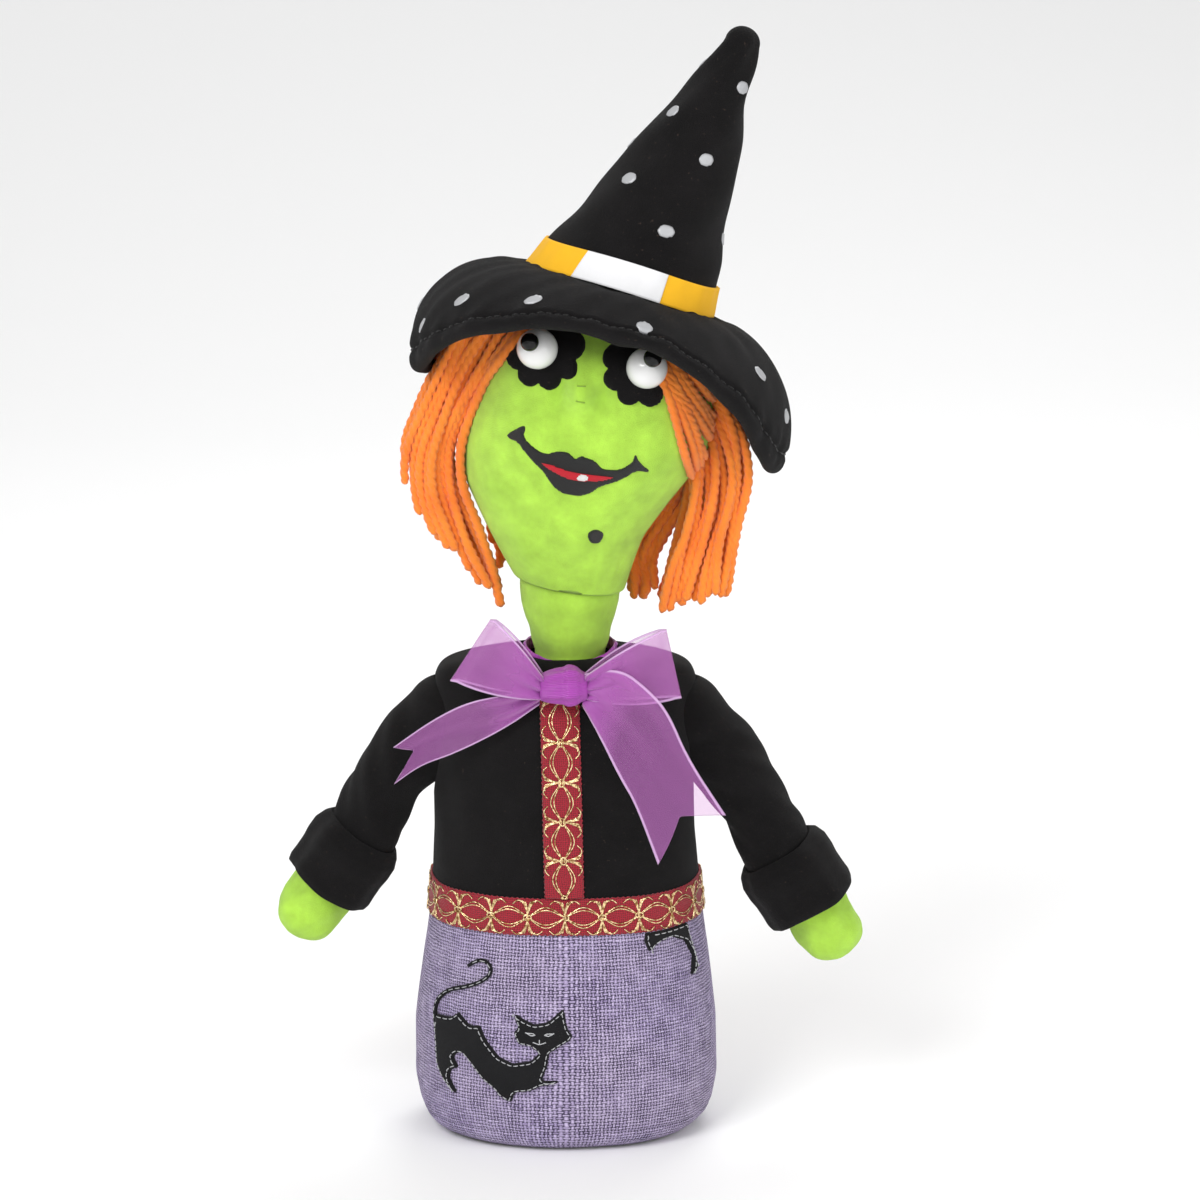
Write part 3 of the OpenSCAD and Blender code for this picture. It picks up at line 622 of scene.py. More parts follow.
def pile_group():
    """Short fibres: fine noise for the height, a slower one for patches of brushed nap, and rare specks of lint."""
    if "Fibre pile" in bpy.data.node_groups:
        return bpy.data.node_groups["Fibre pile"]
    group, n, start, end = new_group("Fibre pile", [("Vector", "NodeSocketVector", None),
                                                    ("Fineness", "NodeSocketFloat", 2500.0)], ["Height", "Nap", "Lint"])
    vector, fine = start.outputs["Vector"], start.outputs["Fineness"]
    n.link(n.noise(vector, fine, 4.0, 0.65), end.inputs["Height"])
    n.link(n.noise(vector, n.math("MULTIPLY", fine, 0.035), 4.0, 0.6), end.inputs["Nap"])
    n.link(n.span(n.noise(vector, n.math("MULTIPLY", fine, 0.42), 2.0, 0.4), 0.70, 0.76), end.inputs["Lint"])
    return group


def thread_group():
    """Threads laid side by side: ridges across one coordinate."""
    if "Laid thread" in bpy.data.node_groups:
        return bpy.data.node_groups["Laid thread"]
    group, n, start, end = new_group("Laid thread", [("Vector", "NodeSocketVector", None),
                                                     ("Pitch", "NodeSocketFloat", 0.5),
                                                     ("Turn", "NodeSocketFloat", 0.0)], ["Height"])
    spun = n.new("ShaderNodeVectorRotate", rotation_type="Z_AXIS")
    n.link(start.outputs["Vector"], spun.inputs["Vector"])
    n.link(start.outputs["Turn"], spun.inputs["Angle"])
    x, y, _ = n.split(spun.outputs[0])
    wave = n.math("SINE", n.math("MULTIPLY", n.math("DIVIDE", x, start.outputs["Pitch"]), PI))
    n.link(n.math("ABSOLUTE", wave), end.inputs["Height"])
    return group


def material(name, colour, rough, **sockets):
    """A new material with its Principled values set; returns it, its builder and the Principled node."""
    made = bpy.data.materials.new(name)
    made.use_nodes = True
    n = Nodes(made.node_tree)
    principled = made.node_tree.nodes["Principled BSDF"]
    principled.inputs["Base Color"].default_value = (*colour, 1)
    principled.inputs["Roughness"].default_value = rough
    for key, value in sockets.items():
        principled.inputs[key.replace("_", " ")].default_value = value
    return made, n, principled


def bump(n, principled, height, distance, strength=1.0):
    """Feeds a height in metres into the normal."""
    node = n.new("ShaderNodeBump")
    node.inputs["Strength"].default_value = strength
    node.inputs["Distance"].default_value = distance
    n.link(height, node.inputs["Height"])
    n.link(node.outputs[0], principled.inputs["Normal"])


def grouped(n, group, **values):
    """A node group placed in a material."""
    node = n.new("ShaderNodeGroup")
    node.node_tree = group
    for key, value in values.items():
        n.feed(node.inputs[key], value)
    return node.outputs


def kept(build):
    """Makes a material once and returns the same one afterwards."""
    def find():
        name = build.__name__.replace("_", " ")
        return bpy.data.materials.get(name) or build(name)
    return find


@kept
def lilac_burlap(name):
    c = colours()
    made, n, p = material(name, c.burlap, 0.8, Sheen_Weight=0.1, Specular_IOR_Level=0.3)
    uv = n.new("ShaderNodeUVMap", uv_map="UVMap").outputs[0]
    weave = grouped(n, weave_group(), Vector=uv, Pitch=mm(sizes().weave_pitch))
    where = n.new("ShaderNodeTexCoord").outputs["Object"]
    faded = n.span(n.noise(where, 26.0, 3.0), 0.35, 0.68)
    thread = n.mix(n.span(weave["Slub"], 0.30, 0.66), (*c.burlap_dark, 1), (*c.burlap, 1))
    thread = n.mix(n.math("MULTIPLY", faded, 0.45), thread, (0.56, 0.47, 0.63, 1))
    # Painted shade between the threads: where the weave is low the colour goes to a near-black violet, and noise opens
    # more of these dark gaps in places.
    loose = n.math("MULTIPLY", n.noise(where, 150.0, 2.0), 0.7)
    gap = n.span(n.math("ADD", n.math("ADD", weave["Height"], n.math("MULTIPLY", weave["Slub"], 0.3)), loose), 0.84, 1.30)
    n.link(n.mix(gap, (0.050, 0.035, 0.090, 1), thread), p.inputs["Base Color"])
    bump(n, p, weave["Height"], 0.0011)
    return made


def felt_like(name, colour, fineness, sheen, lint, depth, nap=0.16):
    """Felt or brushed cloth: noise pile, a soft sheen, patches of nap and a little lint."""
    made, n, p = material(name, colour, 0.93, Sheen_Weight=sheen, Sheen_Roughness=0.5, Specular_IOR_Level=0.18)
    where = n.new("ShaderNodeTexCoord").outputs["Object"]
    pile = grouped(n, pile_group(), Vector=where, Fineness=fineness)
    dim, bright = tuple((1 - nap) * v for v in colour), tuple(min((1 + nap) * v, 1) for v in colour)
    base = n.mix(n.span(pile["Nap"], 0.3, 0.7), (*dim, 1), (*bright, 1))
    if lint:
        base = n.mix(n.math("MULTIPLY", pile["Lint"], lint), base, (0.16, 0.11, 0.085, 1))
    n.link(base, p.inputs["Base Color"])
    bump(n, p, pile["Height"], depth)
    return made


@kept
def black_felt(name):
    return felt_like(name, tuple(colours().felt), 2200.0, 0.035, 0.16, 0.0006, 0.3)


@kept
def hat_felt(name):
    return felt_like(name, tuple(1.2 * v for v in colours().felt), 1800.0, 0.03, 0.2, 0.0009, 0.4)


@kept
def cat_felt(name):
    return felt_like(name, (0.009, 0.009, 0.010), 3000.0, 0.06, 0.05, 0.0002)


@kept
def lime_velour(name):
    return felt_like(name, tuple(colours().lime), 2600.0, 0.18, 0.0, 0.0005, 0.16)


@kept
def grey_lining(name):
    return felt_like(name, (0.09, 0.09, 0.095), 2600.0, 0.05, 0.0, 0.0002)


@kept
def white_fibrefill(name):
    return felt_like(name, (0.72, 0.72, 0.70), 900.0, 0.2, 0.0, 0.0008)


@kept
def tan_card(name):
    return felt_like(name, (0.42, 0.29, 0.17), 1800.0, 0.0, 0.0, 0.00008)


@kept
def crimson_braid(name):
    c = colours()
    made, n, p = material(name, c.crimson, 0.62, Sheen_Weight=0.15, Specular_IOR_Level=0.35)
    uv = n.new("ShaderNodeUVMap", uv_map="UVMap").outputs[0]
    weave = grouped(n, weave_group(), Vector=uv, Pitch=0.85)
    # Painted shade and highlight: the ground goes from dark in the weave's low valleys to bright on its raised threads.
    n.link(n.mix(weave["Height"], tuple(0.22 * v for v in c.crimson) + (1,), tuple(1.7 * v for v in c.crimson) + (1,)),
           p.inputs["Base Color"])
    bump(n, p, weave["Height"], 0.0003)
    return made


@kept
def gold_thread(name):
    made, n, p = material(name, colours().gold, 0.26, Metallic=0.9)
    where = n.new("ShaderNodeTexCoord").outputs["Object"]
    glint = n.noise(where, 900.0, 2.0)
    n.link(n.mix(n.span(glint, 0.38, 0.62), (0.30, 0.15, 0.05, 1), (*colours().gold, 1)), p.inputs["Base Color"])
    bump(n, p, glint, 0.0003)
    return made


@kept
def silver_foil(name):
    made, n, p = material(name, colours().silver, 0.42, Metallic=0.25)
    where = n.new("ShaderNodeTexCoord").outputs["Object"]
    bump(n, p, n.noise(where, 900.0, 3.0), 0.00025)
    return made


@kept
def orange_yarn(name):
    c = colours()
    made, n, p = material(name, c.yarn, 0.82, Sheen_Weight=0.25, Specular_IOR_Level=0.25, Subsurface_Weight=0.08)
    p.inputs["Subsurface Radius"].default_value = (0.004, 0.0016, 0.0006)
    where = n.new("ShaderNodeTexCoord").outputs["Object"]
    fuzz = n.noise(where, 2600.0, 3.0, 0.7)
    slow = n.noise(where, 60.0, 2.0)
    base = n.mix(n.span(slow, 0.3, 0.7), (0.90, 0.165, 0.006, 1), (*c.yarn, 1))
    n.link(n.mix(n.math("MULTIPLY", fuzz, 0.35), base, (1.0, 0.42, 0.10, 1)), p.inputs["Base Color"])
    bump(n, p, fuzz, 0.0004)
    return made


@kept
def purple_organza(name):
    """Sheer ribbon: the same fine weave lets light through everywhere but along the satin edges."""
    c = colours()
    made, n, p = material(name, c.ribbon, 0.34, Sheen_Weight=0.35, Specular_IOR_Level=0.5)
    uv = n.new("ShaderNodeUVMap", uv_map="UVMap").outputs[0]
    across, along, _ = n.split(uv)
    rim = n.math("ABSOLUTE", n.math("SUBTRACT", across, 0.5))
    satin = n.span(rim, 0.455, 0.475)
    facing = n.new("ShaderNodeLayerWeight")
    facing.inputs["Blend"].default_value = 0.35
    cover = n.math("ADD", n.math("MULTIPLY", facing.outputs["Facing"], 0.45), 0.22)
    near = n.math("SUBTRACT", 1.0, n.span(along, 0.05, 1.0))
    cover = n.math("ADD", cover, n.math("MULTIPLY", near, 0.42))
    alpha = n.math("MAXIMUM", cover, n.math("MULTIPLY", satin, 0.7), clamp=True)
    cloth = n.mix(near, (*c.ribbon, 1), (0.44, 0.085, 0.46, 1))
    n.link(n.mix(satin, cloth, (*c.ribbon_edge, 1)), p.inputs["Base Color"])
    n.link(alpha, p.inputs["Alpha"])
    threads = grouped(n, thread_group(), Vector=uv, Pitch=0.02)
    bump(n, p, threads["Height"], 0.00006)
    return made


@kept
def gathered_organza(name):
    """The same ribbon where many layers are pulled tight, so that nothing shows through."""
    made, n, p = material(name, (0.36, 0.045, 0.38), 0.36, Sheen_Weight=0.12, Specular_IOR_Level=0.5)
    uv = n.new("ShaderNodeUVMap", uv_map="UVMap").outputs[0]
    threads = grouped(n, thread_group(), Vector=uv, Pitch=0.012)
    bump(n, p, threads["Height"], 0.0002)
    return made


@kept
def yellow_band(name):
    return felt_like(name, tuple(colours().yellow), 2600.0, 0.05, 0.0, 0.0001, 0.03)


@kept
def white_band(name):
    return felt_like(name, tuple(colours().white), 2600.0, 0.05, 0.0, 0.0001, 0.02)


@kept
def white_bead(name):
    made, n, p = material(name, (0.80, 0.80, 0.79), 0.16, Coat_Weight=0.5, Specular_IOR_Level=0.55)
    p.inputs["Coat Roughness"].default_value = 0.06
    return made


@kept
def black_bead(name):
    made, n, p = material(name, (0.004, 0.004, 0.004), 0.16, Specular_IOR_Level=0.3)
    return made


def laid_thread(name, colour, turn, pitch=0.45, rough=0.5):
    """Satin stitch: laid threads with the gloss of embroidery cotton."""
    made, n, p = material(name, colour, rough, Sheen_Weight=0.1, Specular_IOR_Level=0.35)
    uv = n.new("ShaderNodeUVMap", uv_map="UVMap").outputs[0]
    threads = grouped(n, thread_group(), Vector=uv, Pitch=pitch, Turn=turn)
    bump(n, p, threads["Height"], 0.00022)
    return made


@kept
def black_thread(name):
    return laid_thread(name, (0.012, 0.012, 0.012), 0.35)


@kept
def red_thread(name):
    return laid_thread(name, tuple(colours().red), 0.1)


@kept
def white_thread(name):
    return laid_thread(name, (0.80, 0.79, 0.77), 0.0)


@kept
def lime_thread(name):
    made, n, p = material(name, tuple(0.55 * v for v in colours().lime), 0.7)
    return made


def painted(material_made, *nodes):
    """Gives CAD nodes that stay shown a better material."""
    for name in nodes:
        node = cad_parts[name]
        node.data.materials.clear() if not node.material_slots else None
        if not node.material_slots:
            node.data.materials.append(material_made)
        for socket in node.material_slots:
            socket.link = "OBJECT"
            socket.material = material_made


# ---------- the glove ----------

def add_shell(shape, profile, columns, mapper):
    """A closed cloth shell: profile is rows of [height, out], round the cloth's outside and back up its inside."""
    profile = np.asarray(profile, float)
    u = np.linspace(0, 2 * PI, columns, endpoint=False)
    z, a = np.meshgrid(profile[:, 0], u, indexing="ij")
    out, _ = np.meshgrid(profile[:, 1], u, indexing="ij")
    walked = np.concatenate([[0], np.cumsum(np.hypot(*np.diff(np.concatenate([profile, profile[:1]]), axis=0).T))])
    shape.grid(mapper(a, z, out), wrap_rows=True, wrap_columns=True, u=np.linspace(0, 338, columns + 1), v=walked)


def build_skirt():
    """The burlap skirt with a turned hem, from the table up to the waist seam."""
    t = mm(sizes().cloth)
    rise = np.linspace(9.5, 101, 120)
    outside = [[1.5, -0.2], [2.6, 0.5], [4.2, 0.75], [6.5, 0.7], [8.2, 0.35], [8.9, -0.25]]
    inside = [[z, -t] for z in np.linspace(100.5, 10, 24)] + [[9, -t - 0.9], [6, -t - 1.2], [3, -t - 1.0],
                                                             [1.4, -t - 0.3], [0.9, -0.9]]
    rows = np.concatenate([outside, np.stack([rise, 0 * rise], 1), inside])
    shape = Shape()
    add_shell(shape, rows, 320, body_point)
    skirt = shape.made("skirt_cloth", [lilac_burlap()])
    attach(skirt, "body")
    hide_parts("hem_band", "skirt_front", "skirt_back")


def armhole_cutter(side):
    """A closed capsule down the arm that cuts the bodice where the sleeve is sewn in."""
    angle = np.linspace(PI, PI / 2, 12)[1:]
    profile = [[15.0 * math.sin(a), 15.0 * math.cos(a)] for a in angle] + [[14.2, 22], [14.0, 44]]
    shape = Shape()
    add_round(shape, ring_of(profile, 48, at_arm(side)), placed([0, 0, -15], at_arm(side)),
              placed([0, 0, 44], at_arm(side)))
    return shape.made(f"armhole_{side}", [])


def build_bodice():
    """The black felt bodice, closed over the shoulders to a collar, with armholes cut out."""
    t = mm(sizes().cloth)
    rise = np.concatenate([np.linspace(99.5, 186, 90), np.linspace(187, 199, 26)])
    outside = np.stack([rise, np.zeros(len(rise))], 1)
    inside = np.stack([rise[::-6] - np.linspace(1.4, 0, len(rise[::-6])), np.full(len(rise[::-6]), -t)], 1)
    shape = Shape()
    add_shell(shape, np.concatenate([outside, inside]), 240, body_point)
    bodice = shape.made("bodice_cloth", [black_felt()])
    for side in (-1, 1):
        cutter = armhole_cutter(side)
        cut = bodice.modifiers.new("armhole", "BOOLEAN")
        cut.operation, cut.solver, cut.object = "DIFFERENCE", "EXACT", cutter
        bpy.context.view_layer.update()
        mesh = bpy.data.meshes.new_from_object(bodice.evaluated_get(bpy.context.evaluated_depsgraph_get()))
        bodice.modifiers.clear()
        bodice.data = mesh
        bpy.data.objects.remove(cutter)
    if len(bodice.data.polygons) < 1000:
        raise RuntimeError("the armholes left no bodice")
    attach(bodice, "body")
    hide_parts("bodice_front", "bodice_back")


def motif_paths(repeat, half):
    """One repeat of the braid's gold threads, as (length, width) paths from 0 to repeat.

    Two pairs of cords swing in and out, w = +-r half (0.08 + 0.92 sin^1.3(pi s)), and meet at spider knots. From
    each knot legs fan out, along = +-l half t^a and w = +-b half sin(c pi t), and hook back at their tips.
    """
    s = np.linspace(0, 1, 33)
    paths = []
    for reach in (0.56, 0.40):
        swing = half * reach * (0.08 + 0.92 * np.sin(PI * s) ** 1.3)
        paths += [(s * repeat, swing), (s * repeat, -swing)]
    for run, rise, hook in ((0.16, 0.84, 0.50), (0.42, 0.88, 0.62), (0.80, 0.92, 0.72)):
        for way in (-1, 1):
            leg = way * run * half * s ** 1.4
            paths += [(leg, rise * half * np.sin(hook * PI * s)), (leg, -rise * half * np.sin(hook * PI * s))]
    return np.array(paths)


def add_braid(shape, threads, total, wide, mapper, rows, columns):
    """A closed strip of braid through mapper(along, across, out), with its gold threads in another shape."""
    s = np.linspace(0, total, rows)
    across = np.linspace(-wide / 2, wide / 2, columns)
    edge = 1.15 - 0.5 * (np.abs(across) / (wide / 2)) ** 6
    a, b = np.meshgrid(s, across, indexing="ij")
    picot = 0.25 * np.sin(a * 2 * PI / 2.1) * (np.abs(b) > wide / 2 - 0.01) * np.sign(b)
    top = mapper(a, b + picot, np.broadcast_to(edge, a.shape))
    under = mapper(a, b + picot, np.full(a.shape, 0.12))
    closed = np.linalg.norm(top[0] - top[-1], axis=-1).max() < 0.5
    rings = np.concatenate([top, under[:, ::-1]], axis=1)
    if closed:
        rings = rings[:-1]
    u = np.concatenate([across, across[::-1], across[:1]])
    start = shape.grid(rings, wrap_rows=closed, wrap_columns=True, u=u, v=s)
    if not closed:
        j = np.arange(columns - 1)
        cap = np.stack([j, 2 * columns - 1 - j, 2 * columns - 2 - j, j + 1], axis=1)
        shape.add_faces(cap, start)
        shape.add_faces(cap[:, ::-1] + (rows - 1) * 2 * columns, start)
    repeat = mm(sizes().braid_repeat)
    count = max(int(round(total / repeat)), 1)
    motif = motif_paths(total / count, wide / 2)
    along = motif[None, :, 0] + (np.arange(count) * total / count)[:, None, None]
    width = np.broadcast_to(motif[None, :, 1], along.shape)
    along, width = along.reshape(-1, 33), width.reshape(-1, 33)
    if not closed:
        along = np.clip(along, 0.3, total - 0.3)
    r = mm(sizes().gold_thread)
    add_tubes(threads, mapper(along, width, np.full(along.shape, 1.25)), r, 6, up=(0.13, -1, 0.2))
    knots = (np.arange(count + (not closed)) * total / count)
    spin = np.linspace(0, 2 * PI, 17)
    loop_a = np.clip(knots[:, None] + 1.5 * np.cos(spin), 0.3, total - 0.3 if not closed else total + 9)
    loop_b = np.broadcast_to(1.1 * np.sin(spin), loop_a.shape)
    add_tubes(threads, mapper(loop_a, loop_b, np.full(loop_a.shape, 1.6)), r * 1.4, 6, up=(0.13, -1, 0.2))


def build_braids():
    """The waist braid all round the seam and the strip down the middle of the bodice."""
    wide = mm(sizes().braid_width)
    table_x, table_y = np.interp(99, BODY[:, 0], BODY[:, 1]), np.interp(99, BODY[:, 0], BODY[:, 2])
    fine = np.linspace(0, 2 * PI, 1441)
    x, y = oval(table_x, table_y, fine)
    walked = np.concatenate([[0], np.cumsum(np.hypot(np.diff(x), np.diff(y)))])

    def round_waist(along, across, out):
        angle = np.interp(np.mod(along + 0.25 * walked[-1], walked[-1]), walked, fine)
        return body_point(PI + angle, 99 + across, out)

    waist, threads = Shape(), Shape()
    add_braid(waist, threads, walked[-1], wide, round_waist, 401, 15)
    waist = waist.made("waist_braid_ground", [crimson_braid()])
    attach(waist, "body")
    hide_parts("waist_braid")

    def down_front(along, across, out):
        z = 185.5 - along
        return on_body(across - 2.0 * np.clip((z - 100) / 85, 0, 1), z, out)

    front = Shape()
    add_braid(front, threads, 185.5 - 106.8, wide + 0.6, down_front, 90, 15)
    front = front.made("front_braid_ground", [crimson_braid()])
    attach(front, "body")
    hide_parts("front_braid")
    gold = threads.made("braid_gold_threads", [gold_thread()])
    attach(gold, "body")


CAT = [(-51.7, 54), (-45.6, 54.6), (-42.6, 57.4), (-37.4, 52.8), (-33.5, 53.7), (-31.3, 48.2), (-26.1, 41.4),
       (-20.9, 39), (-13.9, 40.2), (-10.5, 43.4), (-13.9, 46), (-18.7, 46.7), (-20.9, 51.6), (-18.7, 53.5),
       (-21.3, 60.6), (-16.1, 57.2), (-12.2, 55.5), (-7, 56.5), (-1.8, 61.1), (-0.5, 62.4), (0.4, 57.5), (1.2, 53.9),
       (3.4, 50.7), (1.7, 48.5), (-2.7, 45.8), (-6.1, 43.4), (-7, 37.6), (-9.2, 32.2), (-2.2, 32.3), (-3.5, 30.5),
       (-9.6, 29.5), (-13.9, 27.2), (-20, 26.5), (-20.9, 22.4), (-22.6, 22.4), (-27, 25.1), (-27.8, 26.8),
       (-33, 30.9), (-37.4, 36.6), (-40.8, 40.6), (-43, 40.3), (-44.3, 38.2), (-42.1, 34.6), (-45.2, 32.7),
       (-45.6, 29), (-42.6, 23.2), (-44.3, 22.9), (-47.8, 26.7), (-49.5, 29), (-51.7, 33.8), (-52.1, 41.7),
       (-52.6, 47.9)]
CAT_TAIL = [(-51.5, 48.8), (-52, 55.9), (-50.3, 61), (-46, 65.7), (-37.4, 68.9), (-31.3, 72.4), (-28.7, 76.2),
            (-30.4, 79.7), (-33.9, 80.2), (-38.2, 76.9)]
UPPER_CAT = [(31.6, 91), (31.2, 87.7), (32.9, 83.9), (34.7, 81.2), (35.1, 85), (38.1, 86.8), (42.5, 87.4),
             (47.7, 84.2), (50.7, 77.2), (50.3, 71.9), (49.8, 68.9), (53.6, 71.6), (52.9, 74.7), (51.1, 82.5),
             (49.4, 89), (48.8, 91.5)]


def inset(outline, distance):
    """A closed outline moved inwards along its normals, clockwise or not."""
    outline = np.asarray(outline, float)
    ahead, behind = np.roll(outline, -1, axis=0), np.roll(outline, 1, axis=0)
    tangent = unit(ahead - behind)
    turn = np.sign(((ahead[:, 0] - outline[:, 0]) * (ahead[:, 1] + outline[:, 1])).sum())
    return outline + distance * turn * np.stack([tangent[:, 1], -tangent[:, 0]], axis=1)


def build_cats():
    """Two black cats on the skirt, outlined in silver stitches; the seam cuts the upper one off."""
    felt = mm(sizes().felt)
    shape, silver = Shape(), Shape()
    cat = rounded(resampled(CAT, spacing=1.3, closed=True), 1)
    add_patch(shape, cat, on_body, felt, edge=0.7)
    tail = resampled(rounded(CAT_TAIL, 3, closed=False), spacing=0.8)
    radius = np.linspace(1.0, 0.75, len(tail))
    add_tubes(shape, on_body(tail[:, 0], tail[:, 1], 0.6)[None], radius[None], 8, up=(0, -1, 0), flat=0.8)
    inner = resampled(inset(resampled(cat, spacing=1.2, closed=True), 1.1), spacing=0.5, closed=True)
    add_tubes(silver, stitches(inner, on_body, felt, 1.7, 0.8), 0.22, 5, up=(0, -1, 0))
    add_tubes(silver, stitches(tail, on_body, 1.35, 1.9, 1.2), 0.2, 5, up=(0, -1, 0))
    eyes = [[(-15.5, 52.3), (-13.2, 50.9), (-11.6, 51.3)], [(-4.2, 52.2), (-6.4, 50.9), (-8.1, 51.4)],
            [(-15.3, 52.0), (-12.6, 51.9), (-11.7, 51.3)], [(-4.4, 52.0), (-7.0, 51.9), (-8.0, 51.4)],
            [(-12.6, 48.3), (-10, 47.4), (-7.4, 48.4)], [(-10, 49.4), (-10, 48.4), (-10, 47.5)]]
    lines = np.array([resampled(e, count=8) for e in eyes])
    add_tubes(silver, on_body(lines[..., 0], lines[..., 1], felt + 0.05), 0.26, 5, up=(0, -1, 0))
    cats = shape.made("cat_cutout", [cat_felt()])
    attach(cats, "body")
    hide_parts("cat_applique")
    upper = Shape()
    part = rounded(resampled(UPPER_CAT, spacing=1.3, closed=True), 1)
    add_patch(upper, part, on_body, felt, edge=0.7)
    inner = resampled(inset(resampled(part, spacing=1.2, closed=True), 1.0), spacing=0.5, closed=True)
    inner = inner[inner[:, 1] < 90.5]
    add_tubes(silver, stitches(inner, on_body, felt, 1.7, 0.8), 0.22, 5, up=(0, -1, 0))
    upper = upper.made("cat_cutout_upper", [cat_felt()])
    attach(upper, "body")
    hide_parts("cat_applique_upper")
    threads = silver.made("cat_stitching", [silver_foil()])
    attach(threads, "body")


# ---------- arms ----------

def arm_waves(u, z, side):
    """Creases of an unstuffed sleeve, deepest near the elbow and gone at the wrist."""
    fade = np.clip(z / 12, 0, 1) * np.clip((WRIST[side] - z) / 14, 0.08, 1)
    return fade * (0.9 * np.sin(z / 5.3 + 1.2 * np.sin(u + side)) * np.sin(u * 1.0 + 0.6)
                   + 0.7 * np.sin(z / 9 + 2 * u) + 0.45 * np.sin(3 * u + z / 4) + 0.25 * np.sin(7 * u + z / 2.6))


def build_arm(side):
    """One sleeve, its turned cuff and the stuffed hand."""
    word = "left" if side < 0 else "right"
    place, wrist = at_arm(side), WRIST[side]
    angle = np.linspace(PI * 0.72, PI / 2, 10)
    start = [[16.2 * math.sin(a), 16.2 * math.cos(a)] for a in angle]
    down = [[np.interp(z, [0, 14, 36, wrist], [16.2, 15.8, 14.9, 14.2]), z] for z in np.linspace(1.5, wrist - 4.5, 64)]
    back = [[np.interp(z, [0, wrist - 10, wrist], [14.6, 13.4, 13.5]), z] for z in np.linspace(wrist - 4.5, 0, 14)]
    back += [[14.6 * math.sin(a), 14.6 * math.cos(a)] for a in angle[::-2]]
    profile = np.array(start + down + back)
    a = np.linspace(0, 2 * PI, 96, endpoint=False)
    r = profile[:, :1] + arm_waves(a[None], profile[:, 1:2], side)
    local = np.stack([r * np.cos(a), r * np.sin(a), np.broadcast_to(profile[:, 1:2], r.shape)], -1)
    outward = np.array([side * math.cos(math.radians(34)), 0, math.sin(math.radians(34))])
    elbow = 3.6 * np.sin(PI * np.clip(profile[:, 1] / (wrist - 2), 0, 1)) ** 1.3
    shape = Shape()
    shape.grid(placed(local, place) + elbow[:, None, None] * outward, wrap_rows=True, wrap_columns=True)
    sleeve = shape.made(f"sleeve_cloth_{word}", [black_felt()])
    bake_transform(sleeve)
    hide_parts(f"sleeve_{word}")

    lip = [[14.7, -4.8], [15.9, -5.6], [18.0, -3.4], [19.6, 0.8], [19.7, 6], [19.2, 10], [19.2, 15], [19.4, 19],
           [18.8, 21.6], [17.2, 22.2], [15.9, 21.0], [15.5, 17], [15.3, 11], [14.8, 4], [14.5, -2]]
    lip = np.stack([np.interp(np.linspace(0, 1, 76), np.linspace(0, 1, 15), np.array(lip)[:, k]) for k in (0, 1)], 1)
    crease = (0.6 * np.sin(2 * a + side) + 0.45 * np.sin(5 * a) + 0.3 * np.sin(9 * a + 2))[None] \
        * np.clip((lip[:, :1] - 14) / 4, 0, 1)
    wave = 0.7 * np.sin(3 * a + 1 + side)[None] * np.clip((lip[:, :1] - 14) / 4, 0, 1)
    r = lip[:, :1] + crease
    local = np.stack([r * np.cos(a), r * np.sin(a), wrist + lip[:, 1:2] + wave], -1)
    shape = Shape()
    shape.grid(placed(local, place), wrap_rows=True, wrap_columns=True)
    cuff = shape.made(f"turned_cuff_{word}", [black_felt()])
    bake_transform(cuff)
    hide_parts(f"cuff_{word}")

    tip = CUFF_LENGTH + HAND_LENGTH
    z = np.concatenate([np.linspace(-10, 30, 40), tip - 12 + 12 * np.sin(np.linspace(-0.36, PI / 2, 22)[:-1])])
    r = np.interp(z, [-10, 0, 20, 27, 32, 35], [9, 12.3, 12.9, 13.1, 12.8, 12.4])
    over = z > tip - 12
    r = np.where(over, 12.4 * np.sqrt(np.clip(1 - ((z - tip + 12) / 12) ** 2, 0, 1)) ** 0.9, r)
    r = np.where(z < 0, np.sqrt(np.clip(151 - z ** 2, 0, 151)), np.minimum(r, 13.2))
    lump = 0.4 * np.sin(3 * a[None] + z[:, None] / 4) + 0.25 * np.sin(7 * a[None] - z[:, None] / 3)
    seam = -0.55 * np.exp(-(np.minimum(a, 2 * PI - a)[None] / 0.07) ** 2) - 0.55 * np.exp(-((a[None] - PI) / 0.07) ** 2)
    rr = np.maximum(r[:, None] + (lump + seam) * np.clip(r[:, None] / 8, 0, 1), 0.5)
    local = np.stack([rr * np.cos(a) * 1.04, rr * np.sin(a) * 0.94,
                      np.broadcast_to(wrist + z[:, None], rr.shape)], -1)
    shape = Shape()
    add_round(shape, placed(local, place), placed([0, 0, wrist - 12.3], place), placed([0, 0, wrist + tip], place))
    hand = shape.made(f"stuffed_hand_{word}", [lime_velour()])
    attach(hand, f"{word}_hand")
    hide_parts(f"hand_{word}")


# ---------- neck and bow ----------

